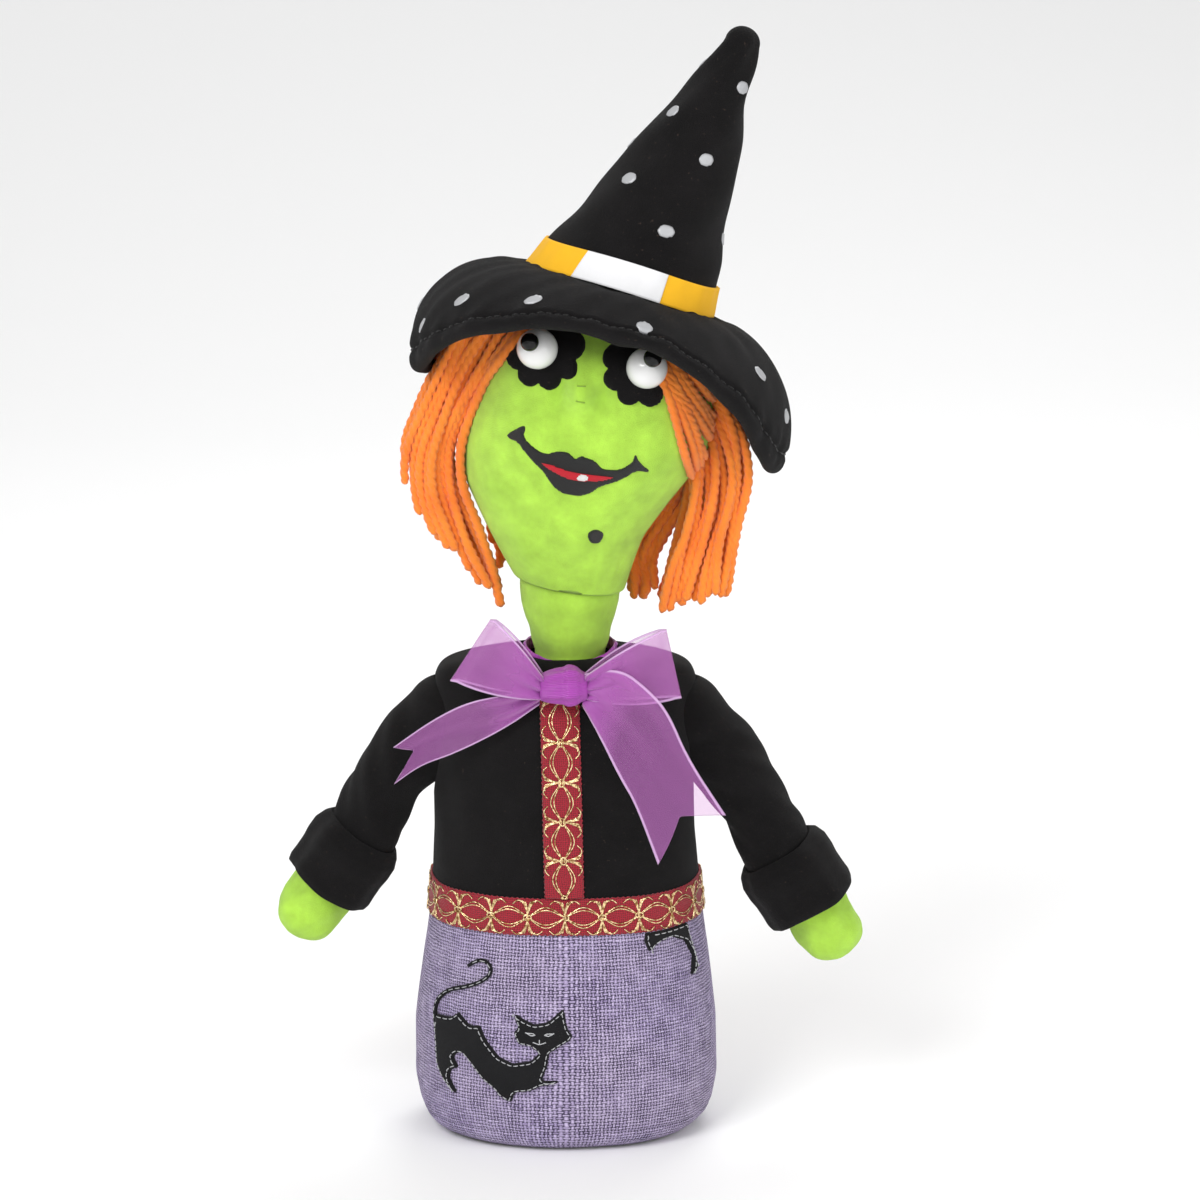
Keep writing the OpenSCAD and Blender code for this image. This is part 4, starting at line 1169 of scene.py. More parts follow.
def build_neck():
    """The velour neck: a tube that widens from the collar into the ball that sits in the head."""
    z = np.concatenate([np.linspace(188, 224, 48), 230 + 20.6 * np.sin(np.linspace(-0.1, 1.05, 20))])
    r = np.interp(z, [188, 199, 204, 212, 219, 224], [13.4, 13.8, 15.6, 18.0, 19.5, 20.0])
    r = np.where(z > 228, np.sqrt(np.clip(404 - (z - 230) ** 2, 0, 404)), r)
    a = np.linspace(0, 2 * PI, 96, endpoint=False)
    fold = 0.35 * np.sin(4 * a[None] + z[:, None] / 5) + 0.3 * np.sin(z[:, None] / 2.6 + 2 * np.sin(a[None])) \
        * np.exp(-((z[:, None] - 208) / 6) ** 2)
    fold *= np.clip((222 - z[:, None]) / 10, 0.1, 1)
    rr = np.concatenate([r[:, None] + fold, np.full((1, 96), 11.6), np.full((1, 96), 11.6)])
    zz = np.concatenate([z, [246.0], [187.0]])
    points = np.stack([2 + rr * np.cos(a), rr * np.sin(a), np.broadcast_to(zz[:, None], rr.shape)], -1)
    shape = Shape()
    shape.grid(points, wrap_rows=True, wrap_columns=True)
    neck = shape.made("neck_velour", [lime_velour()])
    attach(neck, "neck")
    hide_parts("neck_skin")


def smooth_path(points, count):
    """Catmull-like smoothing: an even resample eased by corner cutting in any number of dimensions."""
    points = np.asarray(points, float)
    for _ in range(3):
        cut = np.stack([0.75 * points[:-1] + 0.25 * points[1:], 0.25 * points[:-1] + 0.75 * points[1:]], 1)
        points = np.concatenate([points[:1], cut.reshape(-1, points.shape[1]), points[-1:]])
    return resampled(points, count=count)


def ribbon_sheet(upper, lower, rows, columns, wave=1.0, pleats=3.0, notch=0.0, phase=0.0):
    """A sheet between two edge lines: p = (1 - w) upper(s) + w lower(s), with pleats that fade away from s = 0.

    notch shortens the middle of the far end: s' = s (1 - notch (1 - |2w - 1|)).
    """
    upper, lower = smooth_path(upper, 80), smooth_path(lower, 80)
    s, w = np.meshgrid(np.linspace(0, 1, rows), np.linspace(0, 1, columns), indexing="ij")
    at = s * (1 - notch * (1 - np.abs(2 * w - 1)))
    knots = np.linspace(0, 1, 80)
    edge = [np.stack([np.interp(at, knots, e[:, k]) for k in range(3)], -1) for e in (upper, lower)]
    points = edge[0] * (1 - w[..., None]) + edge[1] * w[..., None]
    ripple = wave * (np.sin(2 * PI * pleats * w + phase) * np.exp(-3.2 * s) * 1.1
                     + 0.8 * np.sin(PI * w * 1.6 + 3.0 * s + phase) * np.clip(3 * s, 0, 1)
                     + 0.35 * np.sin(2 * PI * w * 2 + 5 * s) * np.clip(3 * s, 0, 1))
    points[..., 1] -= ripple
    return points


def ribbon_piece(name, points, node):
    """A sheet of ribbon with its satin edges."""
    shape = Shape()
    along = np.concatenate([[0], np.cumsum(np.linalg.norm(np.diff(points, axis=0), axis=-1).mean(axis=1))])
    add_ribbon(shape, points, mm(sizes().ribbon), v=along * 0.04)
    piece = shape.made(name, [purple_organza()])
    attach(piece, "body")
    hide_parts(node)
    return piece


def loop_sheet(side, corners, depth, rows=72, columns=40):
    """A bow loop: out from the knot along the front, round a fold, and back along the rear."""
    root_top, root_low, end_top, end_low = [np.array(c, float) for c in corners]
    s = np.linspace(0, 1, rows)
    out = np.clip(np.where(s < 0.5, s * 2, (1 - s) * 2), 0, 1)
    out = np.sin(out * PI / 2) ** 0.85
    w = np.linspace(0, 1, columns)
    grow = out ** 0.8
    top = root_top + (end_top - root_top) * out[:, None]
    low = root_low + (end_low - root_low) * out[:, None]
    bow_out = (2.2 * np.sin(PI * out))[:, None] * np.array([0, 0, 1.0])
    top, low = top + bow_out, low - 0.6 * bow_out
    x_z = top[:, None] * (1 - w[None, :, None]) + low[:, None] * w[None, :, None]
    swell = depth * np.sqrt(np.clip(np.sin(PI * (0.03 + 0.97 * out)) ** 0.8, 0, 1)) * np.where(s < 0.5, 1, -0.45)
    fold = (1.3 * np.sin(2 * PI * 2.5 * w)[None] * (np.exp(-2.6 * grow) + 0.12)[:, None]
            + 0.9 * np.sin(PI * (w[None] * 1.5 + out[:, None]))) * np.where(s < 0.5, 1.0, 0.6)[:, None]
    tip = 2.4 * np.clip(1 - np.abs(s - 0.5) / 0.06, 0, 1) * side
    points = np.stack([x_z[..., 0] + tip[:, None], x_z[..., 1] - swell[:, None] - fold, x_z[..., 2]], -1)
    points[..., 1] += np.linspace(-0.9, 0.9, rows)[:, None]
    return points


def build_bow():
    """The neck ribbon and the bow tied from it: two loops, two tails and the knot."""
    a = np.linspace(0, 2 * PI, 180, endpoint=False)
    profile = np.array([[17.5, 196.4], [18.4, 196.6], [18.7, 198.0], [18.3, 199.2], [18.6, 200.6], [18.0, 201.8],
                        [17.5, 201.4], [17.5, 199]])
    profile = np.stack([np.interp(np.linspace(0, 1, 40), np.linspace(0, 1, 8), profile[:, k]) for k in (0, 1)], 1)
    crush = (0.35 * np.sin(17 * a) + 0.3 * np.sin(9 * a + 1))[None] * np.clip(profile[:, :1] - 17.5, 0, 1)
    r = profile[:, :1] + crush
    sag = 3.6 * np.clip(-np.sin(a), 0, 1)[None] ** 1.5 * np.ones((40, 1))
    points = np.stack([2 + r * np.cos(a), r * np.sin(a), profile[:, 1:2] - sag], -1)
    shape = Shape()
    shape.grid(points, wrap_rows=True, wrap_columns=True, u=np.linspace(0.2, 0.8, 181), v=np.linspace(0, 3, 41))
    ring = shape.made("neck_ribbon_wrap", [gathered_organza()])
    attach(ring, "body")
    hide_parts("neck_ribbon")

    shape = Shape()
    t, b = np.meshgrid(np.linspace(0, 1, 48), np.linspace(0, 2 * PI, 72, endpoint=False), indexing="ij")
    girth = 0.72 + 0.28 * np.sin(PI * t) ** 0.7
    pleat = 1 + 0.055 * np.sin(9 * b + 3 * t) * np.sin(PI * t)
    band = 1 + 0.16 * np.exp(-((t - 0.68) / 0.16) ** 4)
    knot = np.stack([-9.5 + 18.5 * t, -35.4 + 6.4 * girth * band * pleat * np.cos(b),
                     192.8 + 0.5 * np.sin(3 * t) + 7.2 * girth * band * pleat * np.sin(b)], -1)
    add_round(shape, knot[:, ::-1], np.array([-10.2, -35.4, 192.6]), np.array([9.7, -35.4, 192.9]),
              u=np.linspace(0.1, 0.9, 73), v=np.linspace(0, 0.6, 48))
    wrap = shape.made("bow_knot_wrap", [gathered_organza()])
    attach(wrap, "body")
    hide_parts("bow_knot")

    left = loop_sheet(-1, [(-8, -35, 197), (-9, -35, 188), (-27, -37, 221), (-43, -37, 196)], 4.5)
    ribbon_piece("bow_ribbon_loop_left", left, "bow_loop_left")
    right = loop_sheet(1, [(8, -35, 198), (9, -35, 188), (38, -37, 217), (44, -37, 189)], 5.0)
    ribbon_piece("bow_ribbon_loop_right", right, "bow_loop_right")
    tail = ribbon_sheet([(-10, -34, 192), (-24, -38, 190.5), (-38, -40, 188.5), (-52, -38, 180.5), (-68, -34, 167.5)],
                        [(-10, -33, 185), (-23.5, -35, 175.5), (-44, -36, 165.5), (-57, -34, 160.5),
                         (-68, -31, 151.5)], 72, 34, wave=1.2, pleats=2.0, notch=0.16)
    ribbon_piece("bow_ribbon_tail_left", tail, "bow_tail_left")
    tail = ribbon_sheet([(8, -37, 199), (22, -42, 203), (33, -44, 195), (41, -45, 186), (49, -45, 166),
                         (64, -42, 141.5)],
                        [(7, -36, 185), (10, -40, 181), (16, -43, 170), (22, -45, 158), (28, -46, 148),
                         (37, -46, 122.5)], 84, 40, wave=1.3, pleats=2.5, notch=0.14, phase=0.8)
    ribbon_piece("bow_ribbon_tail_right", tail, "bow_tail_right")


# ---------- head ----------

def build_head():
    """The stuffed head with a socket for the neck and a pocket above it for a fingertip."""
    columns = 288
    u = np.linspace(0, 2 * PI, columns, endpoint=False)
    z = np.concatenate([np.linspace(-2, 30, 40), np.linspace(31, 108, 110), np.linspace(108.8, 119.6, 22)])
    zz, uu = np.meshgrid(z, u, indexing="ij")
    outer = head_shape(uu, zz, 0.0)
    dome = [[22, 21.4 - 21.4], [21.4, 0], [20.6, 5.8], [18.4, 10.9], [15.1, 15.2], [11.6, 18.0], [11, 22], [11, 34],
            [10.6, 44], [8, 48.5], [4, 50.4]]
    dome = np.array(dome)[1:]
    dome = np.stack([np.interp(np.linspace(0, 1, 40), np.linspace(0, 1, 10), dome[:, k]) for k in (0, 1)], 1)
    first = outer[0]
    rings = [ring_of(dome, columns, (np.eye(3), np.zeros(3)))[::-1]]
    rim = 0.5 * (rings[0][-1] + first)
    rim[:, 2] = -2.6
    points = np.concatenate([rings[0], rim[None], outer])
    girth = np.linspace(0, 280, columns + 1)
    shape = Shape()
    add_round(shape, points, np.array([0, 0, 50.8]), np.array([0, 0, 120.4]), lambda p: placed(p, AT_HEAD), u=girth,
              v=np.concatenate([np.linspace(-60, -4, 41), z]))
    head = shape.made("head_velour", [lime_velour()])
    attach(head, "head")
    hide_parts("head_front", "head_back", "head_stuffing")


MOUTH = [(-29.9, 59.9), (-22.7, 66.4), (-21.3, 64.7), (-22, 61.3), (-16.6, 57.8), (-12.2, 56.3), (-8.8, 58.2),
         (-4.7, 59.1), (-2.3, 58.2), (-0.4, 56.3), (1, 58.2), (2.8, 58.3), (7.7, 57.1), (10.4, 54.4), (12.7, 54.2),
         (17.3, 54.9), (19.7, 56.9), (21.6, 58.7), (21.7, 61.1), (22.4, 62.6), (23.7, 59.9), (26.1, 57.4),
         (28.8, 55.7), (27.8, 54.3), (25.2, 54.9), (22.9, 54.3), (20.1, 51.7), (15.9, 48.7), (10.6, 46.5), (7.4, 43.1),
         (3.1, 41), (-1.5, 41.1), (-4.4, 41.4), (-8.5, 44), (-12.4, 48.8), (-16, 51.1), (-20.8, 55.2), (-24.1, 58.6),
         (-27.4, 58.6)]
LIP = [(-14, 53.1), (-10.8, 53.1), (-6, 52.2), (-2.2, 51.7), (1.6, 51.3), (6.2, 51.6), (10.8, 51.8), (16.8, 51.7),
       (13.8, 50), (10.3, 48.6), (5.8, 47.9), (1.2, 47.5), (-1.6, 47.5), (-5.4, 48.4), (-10.3, 50.1), (-13.4, 52)]
TOOTH = [(1.4, 51.2), (6, 51.1), (5.4, 47.9), (0.7, 47.8)]
EYES = {-1: (-20.0, 97.0), 1: (20.0, 97.0)}
PUPILS = {-1: (-2.3, 4.0), 1: (2.4, 6.0)}


def face_patch(name, outlines, height, made_of, node, edge=0.6, spacing=0.8):
    """Cut-outs or embroidery on the face, as one piece."""
    shape = Shape()
    for outline in outlines:
        add_patch(shape, outline, on_face, height, edge=edge, spacing=spacing)
    piece = shape.made(name, [made_of])
    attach(piece, "head")
    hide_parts(node)
    return piece


def build_face():
    """Scalloped felt round two bead eyes, the embroidered mouth, a mole and the stitches that pinch the nose."""
    for side, word in ((-1, "left"), (1, "right")):
        x, z = EYES[side]
        angle = np.linspace(0, 2 * PI, 180, endpoint=False)
        lobes = 13.6 + 3.0 * np.abs(np.sin(4.5 * angle + 0.6)) ** 0.75
        outline = np.stack([x + lobes * np.cos(angle), np.minimum(z + lobes * np.sin(angle), 113)], 1)
        face_patch(f"eye_scallop_{word}", [outline], 1.3, black_felt(), f"eye_patch_{word}", 0.7, 0.9)
        seat = on_face(np.array([x]), np.array([z]), np.array([1.0]))[0]
        forward = AT_HEAD[0] @ unit(np.array([side * 0.30, -1.0, 0.05]))
        centre = seat + 4.6 * forward
        shape = Shape()
        ball(shape, centre, [mm(sizes().bead)] * 3)
        bead = shape.made(f"eye_pearl_{word}", [white_bead()])
        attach(bead, "head")
        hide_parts(f"eye_bead_{word}")
        rise = PUPILS[side]
        reach = mm(sizes().bead) + mm(sizes().pupil) - 1.7
        local = np.array([rise[0], -math.sqrt(reach ** 2 - rise[0] ** 2 - rise[1] ** 2), rise[1]])
        shape = Shape()
        ball(shape, centre + AT_HEAD[0] @ local, [mm(sizes().pupil)] * 3, rows=20, columns=32)
        pupil = shape.made(f"pupil_pearl_{word}", [black_bead()])
        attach(pupil, "head")
        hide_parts(f"pupil_bead_{word}")
    face_patch("mouth_stitch", [rounded(MOUTH, 1)], 0.75, black_thread(), "mouth_embroidery")
    face_patch("lip_stitch", [rounded(LIP, 1)], 1.15, red_thread(), "lip_embroidery", 0.5, 0.6)
    face_patch("tooth_stitch", [rounded(TOOTH, 1)], 1.5, white_thread(), "tooth_embroidery", 0.4, 0.5)
    angle = np.linspace(0, 2 * PI, 40, endpoint=False)
    mole = np.stack([11 + (3.0 + 0.2 * np.sin(3 * angle)) * np.cos(angle), 24.6 + 3.3 * np.sin(angle)], 1)
    face_patch("mole_stitch", [mole], 0.9, black_thread(), "beauty_mark", 0.8, 0.6)
    shape = Shape()
    tucks = np.array([resampled(line, count=8) for line in
                      ([(-3.6, 86.2), (-0.4, 86.6)], [(-3.2, 80.4), (0.2, 80.2)])])
    add_tubes(shape, on_face(tucks[..., 0], tucks[..., 1], 0.05), 0.3, 6, up=(0, -1, 0))
    seam = shape.made("nose_tuck", [lime_thread()])
    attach(seam, "head")


# ---------- hair ----------

def add_yarn(shape, paths, rng, thin=None):
    """Plied strands: r = R (1 + 0.17 cos 3(a - 2 pi s / lay)), a little thinner towards each end."""
    r, lay = mm(sizes().yarn_radius), mm(sizes().yarn_lay)
    strands, points = paths.shape[:2]
    walked = np.concatenate([np.zeros((strands, 1)), np.cumsum(np.linalg.norm(np.diff(paths, axis=1), axis=-1), 1)], 1)
    start = rng.uniform(0, 2 * PI, (strands, 1))
    rest = walked[:, -1:] - walked
    taper = np.clip(rest / 1.6, 0, 1) ** 0.5 * 0.75 + 0.25
    plump = r * rng.uniform(0.86, 1.1, (strands, 1)) * taper * (1 + 0.05 * np.sin(walked / 3.1 + start))

    def lobes(angle):
        turn = (2 * PI * walked / lay + start)[..., None]
        return 1 + 0.17 * np.cos(3 * (angle - turn))

    add_tubes(shape, paths, plump, 13, up=(0.25, 1, 0.1), profile=lobes)


def face_depth(x, z, out):
    """Depth y of the head's front at x and z in the row frame, or 0 beside the head."""
    y = np.zeros(np.broadcast(x, z).shape)
    for _ in range(4):
        local = (np.stack(np.broadcast_arrays(x, y, z), -1) - AT_HEAD[1]) @ AT_HEAD[0]
        w = np.interp(local[..., 2], HEAD[:, 0], HEAD[:, 1]) + out
        d = np.interp(local[..., 2], HEAD[:, 0], HEAD[:, 2]) + out
        beside = np.abs(local[..., 0] - jaw_shift(local[..., 2]))
        share = np.clip(1 - np.clip(beside / w, 0, 1) ** (2 / SQUARE), 0, 1)
        local[..., 1] = -d * share ** (SQUARE / 2)
        y = placed(local, AT_HEAD)[..., 1]
    return np.where(share > 0, y, 0.0)


def hair_paths(outer, inner, fractions, depths, ends, count, rng, spread=1.0, over_face=None):
    """Strands between two guide lines [x, z]: p = (1 - f) outer + f inner, cut at their own height, with a slow wave.

    depths is where each strand lies front to back at its root and its tip.
    """
    outer, inner = rounded_line(outer), rounded_line(inner)
    s = np.linspace(0, 1, 200)
    f = fractions[:, None]
    x = (1 - f) * np.interp(s, np.linspace(0, 1, len(outer)), outer[:, 0]) \
        + f * np.interp(s, np.linspace(0, 1, len(inner)), inner[:, 0])
    z = (1 - f) * np.interp(s, np.linspace(0, 1, len(outer)), outer[:, 1]) \
        + f * np.interp(s, np.linspace(0, 1, len(inner)), inner[:, 1])
    phase = rng.uniform(0, 2 * PI, (len(fractions), 1))
    x = x + spread * (0.9 * np.sin(s * 7 + phase) + 0.6 * np.sin(s * 15 + 2 * phase))
    y = depths[:, :1] + (depths[:, 1:] - depths[:, :1]) * s + spread * 1.2 * np.sin(s * 8 + 1.7 * phase)
    if over_face is not None:
        y = np.where(over_face[:, None], np.minimum(y, face_depth(x, z, mm(sizes().yarn_radius) * 0.8)), y)
    full = np.stack([x, y, z], -1)
    below = z < ends[:, None]
    last = np.where(below.any(axis=1), below.argmax(axis=1), 199)
    at = last[:, None] * np.linspace(0, 1, count)[None]
    rows = np.arange(len(fractions))[:, None]
    low = np.clip(at.astype(int), 0, 198)
    part = (at - low)[..., None]
    return full[rows, low] * (1 - part) + full[rows, low + 1] * part


def rounded_line(points):
    """An open guide line eased and spread evenly."""
    return resampled(rounded(np.asarray(points, float), 3, closed=False), count=100)


def build_hair():
    """Thick orange yarn hanging from under the brim on both sides and across the back of the head."""
    rng = np.random.default_rng(11)

    left_outer = [(-38, 338), (-46, 325), (-52, 312), (-58.5, 296), (-62.5, 282), (-63, 266), (-59.5, 252), (-53, 240), (-46, 231),
                  (-40, 222)]
    left_inner = [(-2, 347), (-13, 337), (-23, 324), (-32, 312), (-39.5, 296), (-42.5, 284), (-41, 269), (-35.5, 254),
                  (-32, 242), (-28.5, 232), (-24, 217)]
    f = np.concatenate([np.linspace(0.03, 1, 10), np.linspace(0.0, 0.9, 10), np.linspace(0.0, 0.85, 10)])
    layer = np.repeat([0, 1, 2], 10)
    depth = np.stack([-15 + 11.0 * layer + rng.uniform(-2, 2, 30) - 6 * f, -7 + 10.0 * layer + rng.uniform(-2, 2, 30)], 1)
    depth[:, 1] = np.where(f > 0.55, depth[:, 1] + 4, depth[:, 1])
    ends = np.interp(f, [0, 0.12, 0.28, 0.45, 0.62, 0.8, 1], [277, 256, 247, 241, 231, 225, 219]) \
        + rng.uniform(-2.5, 2.5, 30)
    paths = hair_paths(left_outer, left_inner, f, depth, ends, 140, rng, over_face=layer == 0)
    shape = Shape()
    add_yarn(shape, paths, rng)
    left = shape.made("yarn_left", [orange_yarn()])
    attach(left, "head")
    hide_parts("hair_left")

    right_outer = [(38, 334), (46, 324), (55, 313), (64.5, 302), (70, 289), (72, 275), (71, 264), (68, 250), (66, 238), (64, 222)]
    right_inner = [(27, 337), (34, 326), (41, 312), (45, 301), (48.5, 288), (50.5, 273), (50, 260), (47, 247), (42, 234),
                   (38, 216)]
    f = np.concatenate([np.linspace(0, 1, 11), np.linspace(0.03, 1.0, 11), np.linspace(0.0, 0.95, 11)])
    layer = np.repeat([0, 1, 2], 11)
    depth = np.stack([-15 + 11.0 * layer + rng.uniform(-2, 2, 33), -8 + 11.0 * layer + rng.uniform(-2, 2, 33)], 1)
    ends = np.interp(f, [0, 0.2, 0.5, 0.75, 1], [225, 222, 218, 220, 216]) + rng.uniform(-3, 3, 33)
    paths = hair_paths(right_outer, right_inner, f, depth, ends, 120, rng, over_face=layer == 0)
    under_outer = [(50, 292), (51.5, 276), (50, 263), (43, 249), (37, 238), (34, 226), (33, 214)]
    under_inner = [(44, 292), (46, 275), (40, 258), (29, 247), (26, 238), (26, 228), (26, 217)]
    f2 = np.concatenate([np.linspace(0, 1, 6), np.linspace(0.1, 0.9, 5)])
    depth2 = np.stack([np.full(11, 8.0) + rng.uniform(-4, 4, 11), np.full(11, 12.0) + rng.uniform(-5, 6, 11)], 1)
    ends2 = 218 + rng.uniform(-2.5, 3, 11)
    paths = np.concatenate([paths, hair_paths(under_outer, under_inner, f2, depth2, ends2, 120, rng)])
    shape = Shape()
    add_yarn(shape, paths, rng)
    right = shape.made("yarn_right", [orange_yarn()])
    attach(right, "head")
    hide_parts("hair_right")

    strands = 46
    u = np.linspace(math.radians(22), math.radians(158), strands) + rng.uniform(-0.02, 0.02, strands)
    layer = np.tile([0, 1], strands // 2)
    drop = np.linspace(0, 1, 110)
    z = 100 - drop[None] * (101 + rng.uniform(-5, 7, strands))[:, None]
    w = np.interp(z, HEAD[:, 0], HEAD[:, 1])
    w = np.maximum(w, 33 - 3 * drop)
    d = np.maximum(np.interp(z, HEAD[:, 0], HEAD[:, 2]), 30 - 6 * drop)
    drift = u[:, None] + 0.06 * np.sin(drop[None] * 6 + rng.uniform(0, 6, strands)[:, None])
    x, y = oval(w + 2.4 + 3.0 * layer[:, None], d + 2.4 + 3.0 * layer[:, None], drift)
    paths = placed(np.stack([x + jaw_shift(z), y, z], -1), AT_HEAD)
    shape = Shape()
    add_yarn(shape, paths, rng)
    back = shape.made("yarn_back", [orange_yarn()])
    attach(back, "head")
    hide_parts("hair_back")


# ---------- hat ----------

SPOTS_CROWN = [(325, 93), (220, 76.5), (298, 62), (234, 46.5), (286, 31), (0, 34), (180, 98), (185, 60), (170, 24),
               (150, 80), (128, 46), (110, 96), (98, 28), (82, 66), (52, 42), (40, 88), (20, 62)]
SPOTS_BRIM = [(223, 0.68), (248, 0.72), (286, 0.80), (336, 0.55), (354, 0.69), (206, 0.78), (15, 0.50), (38, 0.75),
              (60, 0.42), (85, 0.72), (112, 0.45), (140, 0.72), (165, 0.45), (186, 0.62)]


def brim_height(t, u, thickness):
    """Half thickness of the padded brim: full between a row of stitches near the crown and one near the edge."""
    groove = 0.34 * np.exp(-((t - 0.88) / 0.02) ** 2) + 0.16 * np.exp(-((t - 0.06) / 0.05) ** 2)
    pucker = 0.12 * np.sin(38 * u + 5 * np.sin(3 * u)) * np.exp(-((t - 0.88) / 0.09) ** 2) \
        + 0.07 * np.sin(9 * u + 8 * t) + 0.06 * np.sin(17 * u - 6 * t) + 0.05 * np.sin(29 * u + 11 * t)
    return thickness / 2 * (1 - groove + pucker)


def build_hat():
    """The felt hat: a leaning crown, a padded brim with a stitched edge, a two-colour band and foil spots."""
    columns = 240
    a = np.linspace(0, 2 * PI, columns, endpoint=False)
    z = np.concatenate([np.linspace(-2, CROWN_HEIGHT, 150)])
    zz, aa = np.meshgrid(z, a, indexing="ij")
    cone = crown_point(aa, zz, 0.0)
    lift = np.linspace(0.12, PI / 2, 12)[:-1]
    cap_z = CROWN_HEIGHT + CROWN_TIP * np.sin(lift)
    centre = CROWN_LEAN * CROWN_HEIGHT
    base = crown_point(aa[:1], zz[-1:], 0.0)[0] - np.array([*centre, CROWN_HEIGHT])
    cap = np.stack([centre[0] + base[None, :, 0] * np.cos(lift)[:, None],
                    centre[1] + base[None, :, 1] * np.cos(lift)[:, None],
                    np.broadcast_to(cap_z[:, None], (11, columns))], -1)
    points = np.concatenate([cone, cap])
    shape = Shape()
    top = np.array([*centre, CROWN_HEIGHT + CROWN_TIP])
    add_round(shape, points, np.array([0, 0, -2.0]), top, lambda p: placed(p, AT_HAT))
    crown = shape.made("hat_crown_felt", [hat_felt()])
    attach(crown, "head")
    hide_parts("hat_crown", "hat_stuffing")

    thick = mm(sizes().brim)
    t = np.concatenate([np.linspace(0, 0.94, 70), 0.94 + 0.06 * np.sin(np.linspace(0.1, PI / 2, 12))])
    end = np.sqrt(np.clip(1 - np.clip((t - 0.94) / 0.06, 0, 1) ** 2, 0, 1))
    tt, uu = np.meshgrid(t, a, indexing="ij")
    half = brim_height(tt, uu, thick) * np.maximum(end, 0.02)[:, None]
    upper = brim_point(tt, uu, half)
    lower = brim_point(tt, uu, -half)
    inner = [ring_of([[34.8, h]], columns, (np.eye(3), np.zeros(3)))[0] for h in (thick / 2 - 0.4, 0.4 - thick / 2)]
    points = np.concatenate([inner[0][None], upper, lower[::-1], inner[1][None]])[::-1]
    shape = Shape()
    shape.grid(placed(points, AT_HAT), wrap_rows=True, wrap_columns=True)
    brim = shape.made("hat_brim_padded", [hat_felt()])
    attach(brim, "head")
    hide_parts("hat_brim_top", "hat_brim_under", "hat_brim_wadding")
    shape = Shape()
    turn = np.arange(0, 360, 2.6)
    span = np.radians(turn[:, None] + np.linspace(0, 1.7, 6)[None])
    rise = brim_height(np.full(span.shape, 0.88), span, thick) + 0.05 + 0.25 * np.sin(np.linspace(0, PI, 6))
    add_tubes(shape, placed(brim_point(np.full(span.shape, 0.88), span, rise), AT_HAT), 0.28, 5, up=(0, 0, 1))
    seam = shape.made("brim_stitches", [black_thread()])
    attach(seam, "head")

    for name, first, last, made_of, out, slot in (("hat_band_yellow", 296, 606, yellow_band(), 0.5, "yellow_band"),
                                                  ("hat_band_white", 244, 299, white_band(), 0.9, "yellow_band")):
        shape = Shape()
        u = np.radians(np.linspace(first, last, int((last - first) * 1.2)))
        h = np.linspace(3.4, 15.0, 14)
        uu, hh = np.meshgrid(u, h, indexing="ij")
        wave = 0.3 * np.sin(9 * uu) + 0.25 * np.sin(21 * uu + 1)
        tilt = hh + 0.5 * np.sin(3 * uu)
        outside = crown_point(uu, tilt, out + 0.8 + wave * (hh - 3) / 12)
        inside = crown_point(uu, tilt, out - 0.6 + 0 * hh)
        rings = placed(np.concatenate([outside[:, ::-1], inside], axis=1), AT_HAT)
        rows, wide = rings.shape[0], len(h)
        start = shape.grid(rings, wrap_columns=True)
        j = np.arange(wide - 1)
        cap = np.stack([j, 2 * wide - 1 - j, 2 * wide - 2 - j, j + 1], axis=1)
        shape.add_faces(cap, start)
        shape.add_faces(cap[:, ::-1] + (rows - 1) * 2 * wide, start)
        band = shape.made(name, [made_of])
        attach(band, "head")
        if "yellow" in name:
            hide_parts("hat_band")

    shape = Shape()
    angle = np.linspace(0, 2 * PI, 28, endpoint=False)
    for turn_at, height in SPOTS_CROWN:
        radius = float(CROWN_RADIUS - (CROWN_RADIUS - CROWN_TIP) * height / CROWN_HEIGHT)

        def on_crown(x, y, out, turn_at=turn_at, height=height, radius=radius):
            return placed(crown_point(math.radians(turn_at) + x / radius, height + y, out), AT_HAT)

        outline = np.stack([3.6 * np.cos(angle), 2.9 * np.sin(angle)], 1)
        add_patch(shape, outline, on_crown, 0.45, base=-0.4, edge=0.5, spacing=0.8)
    for turn_at, share in SPOTS_BRIM:
        u0 = math.radians(turn_at)
        r0, _, _ = brim_curve(np.array(share), np.array(u0))
        wide = float(brim_width(u0))

        def on_brim(x, y, out, u0=u0, share=share, r0=float(r0), wide=wide):
            u, s = u0 + x / r0, share - y / wide
            return placed(brim_point(s, u, brim_height(s, u, thick) + out), AT_HAT)

        outline = np.stack([3.5 * np.cos(angle), 3.0 * np.sin(angle)], 1)
        add_patch(shape, outline, on_brim, 0.45, base=-0.4, edge=0.5, spacing=0.8)
    spots = shape.made("foil_spots", [silver_foil()])
    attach(spots, "head")


# ---------- stage ----------

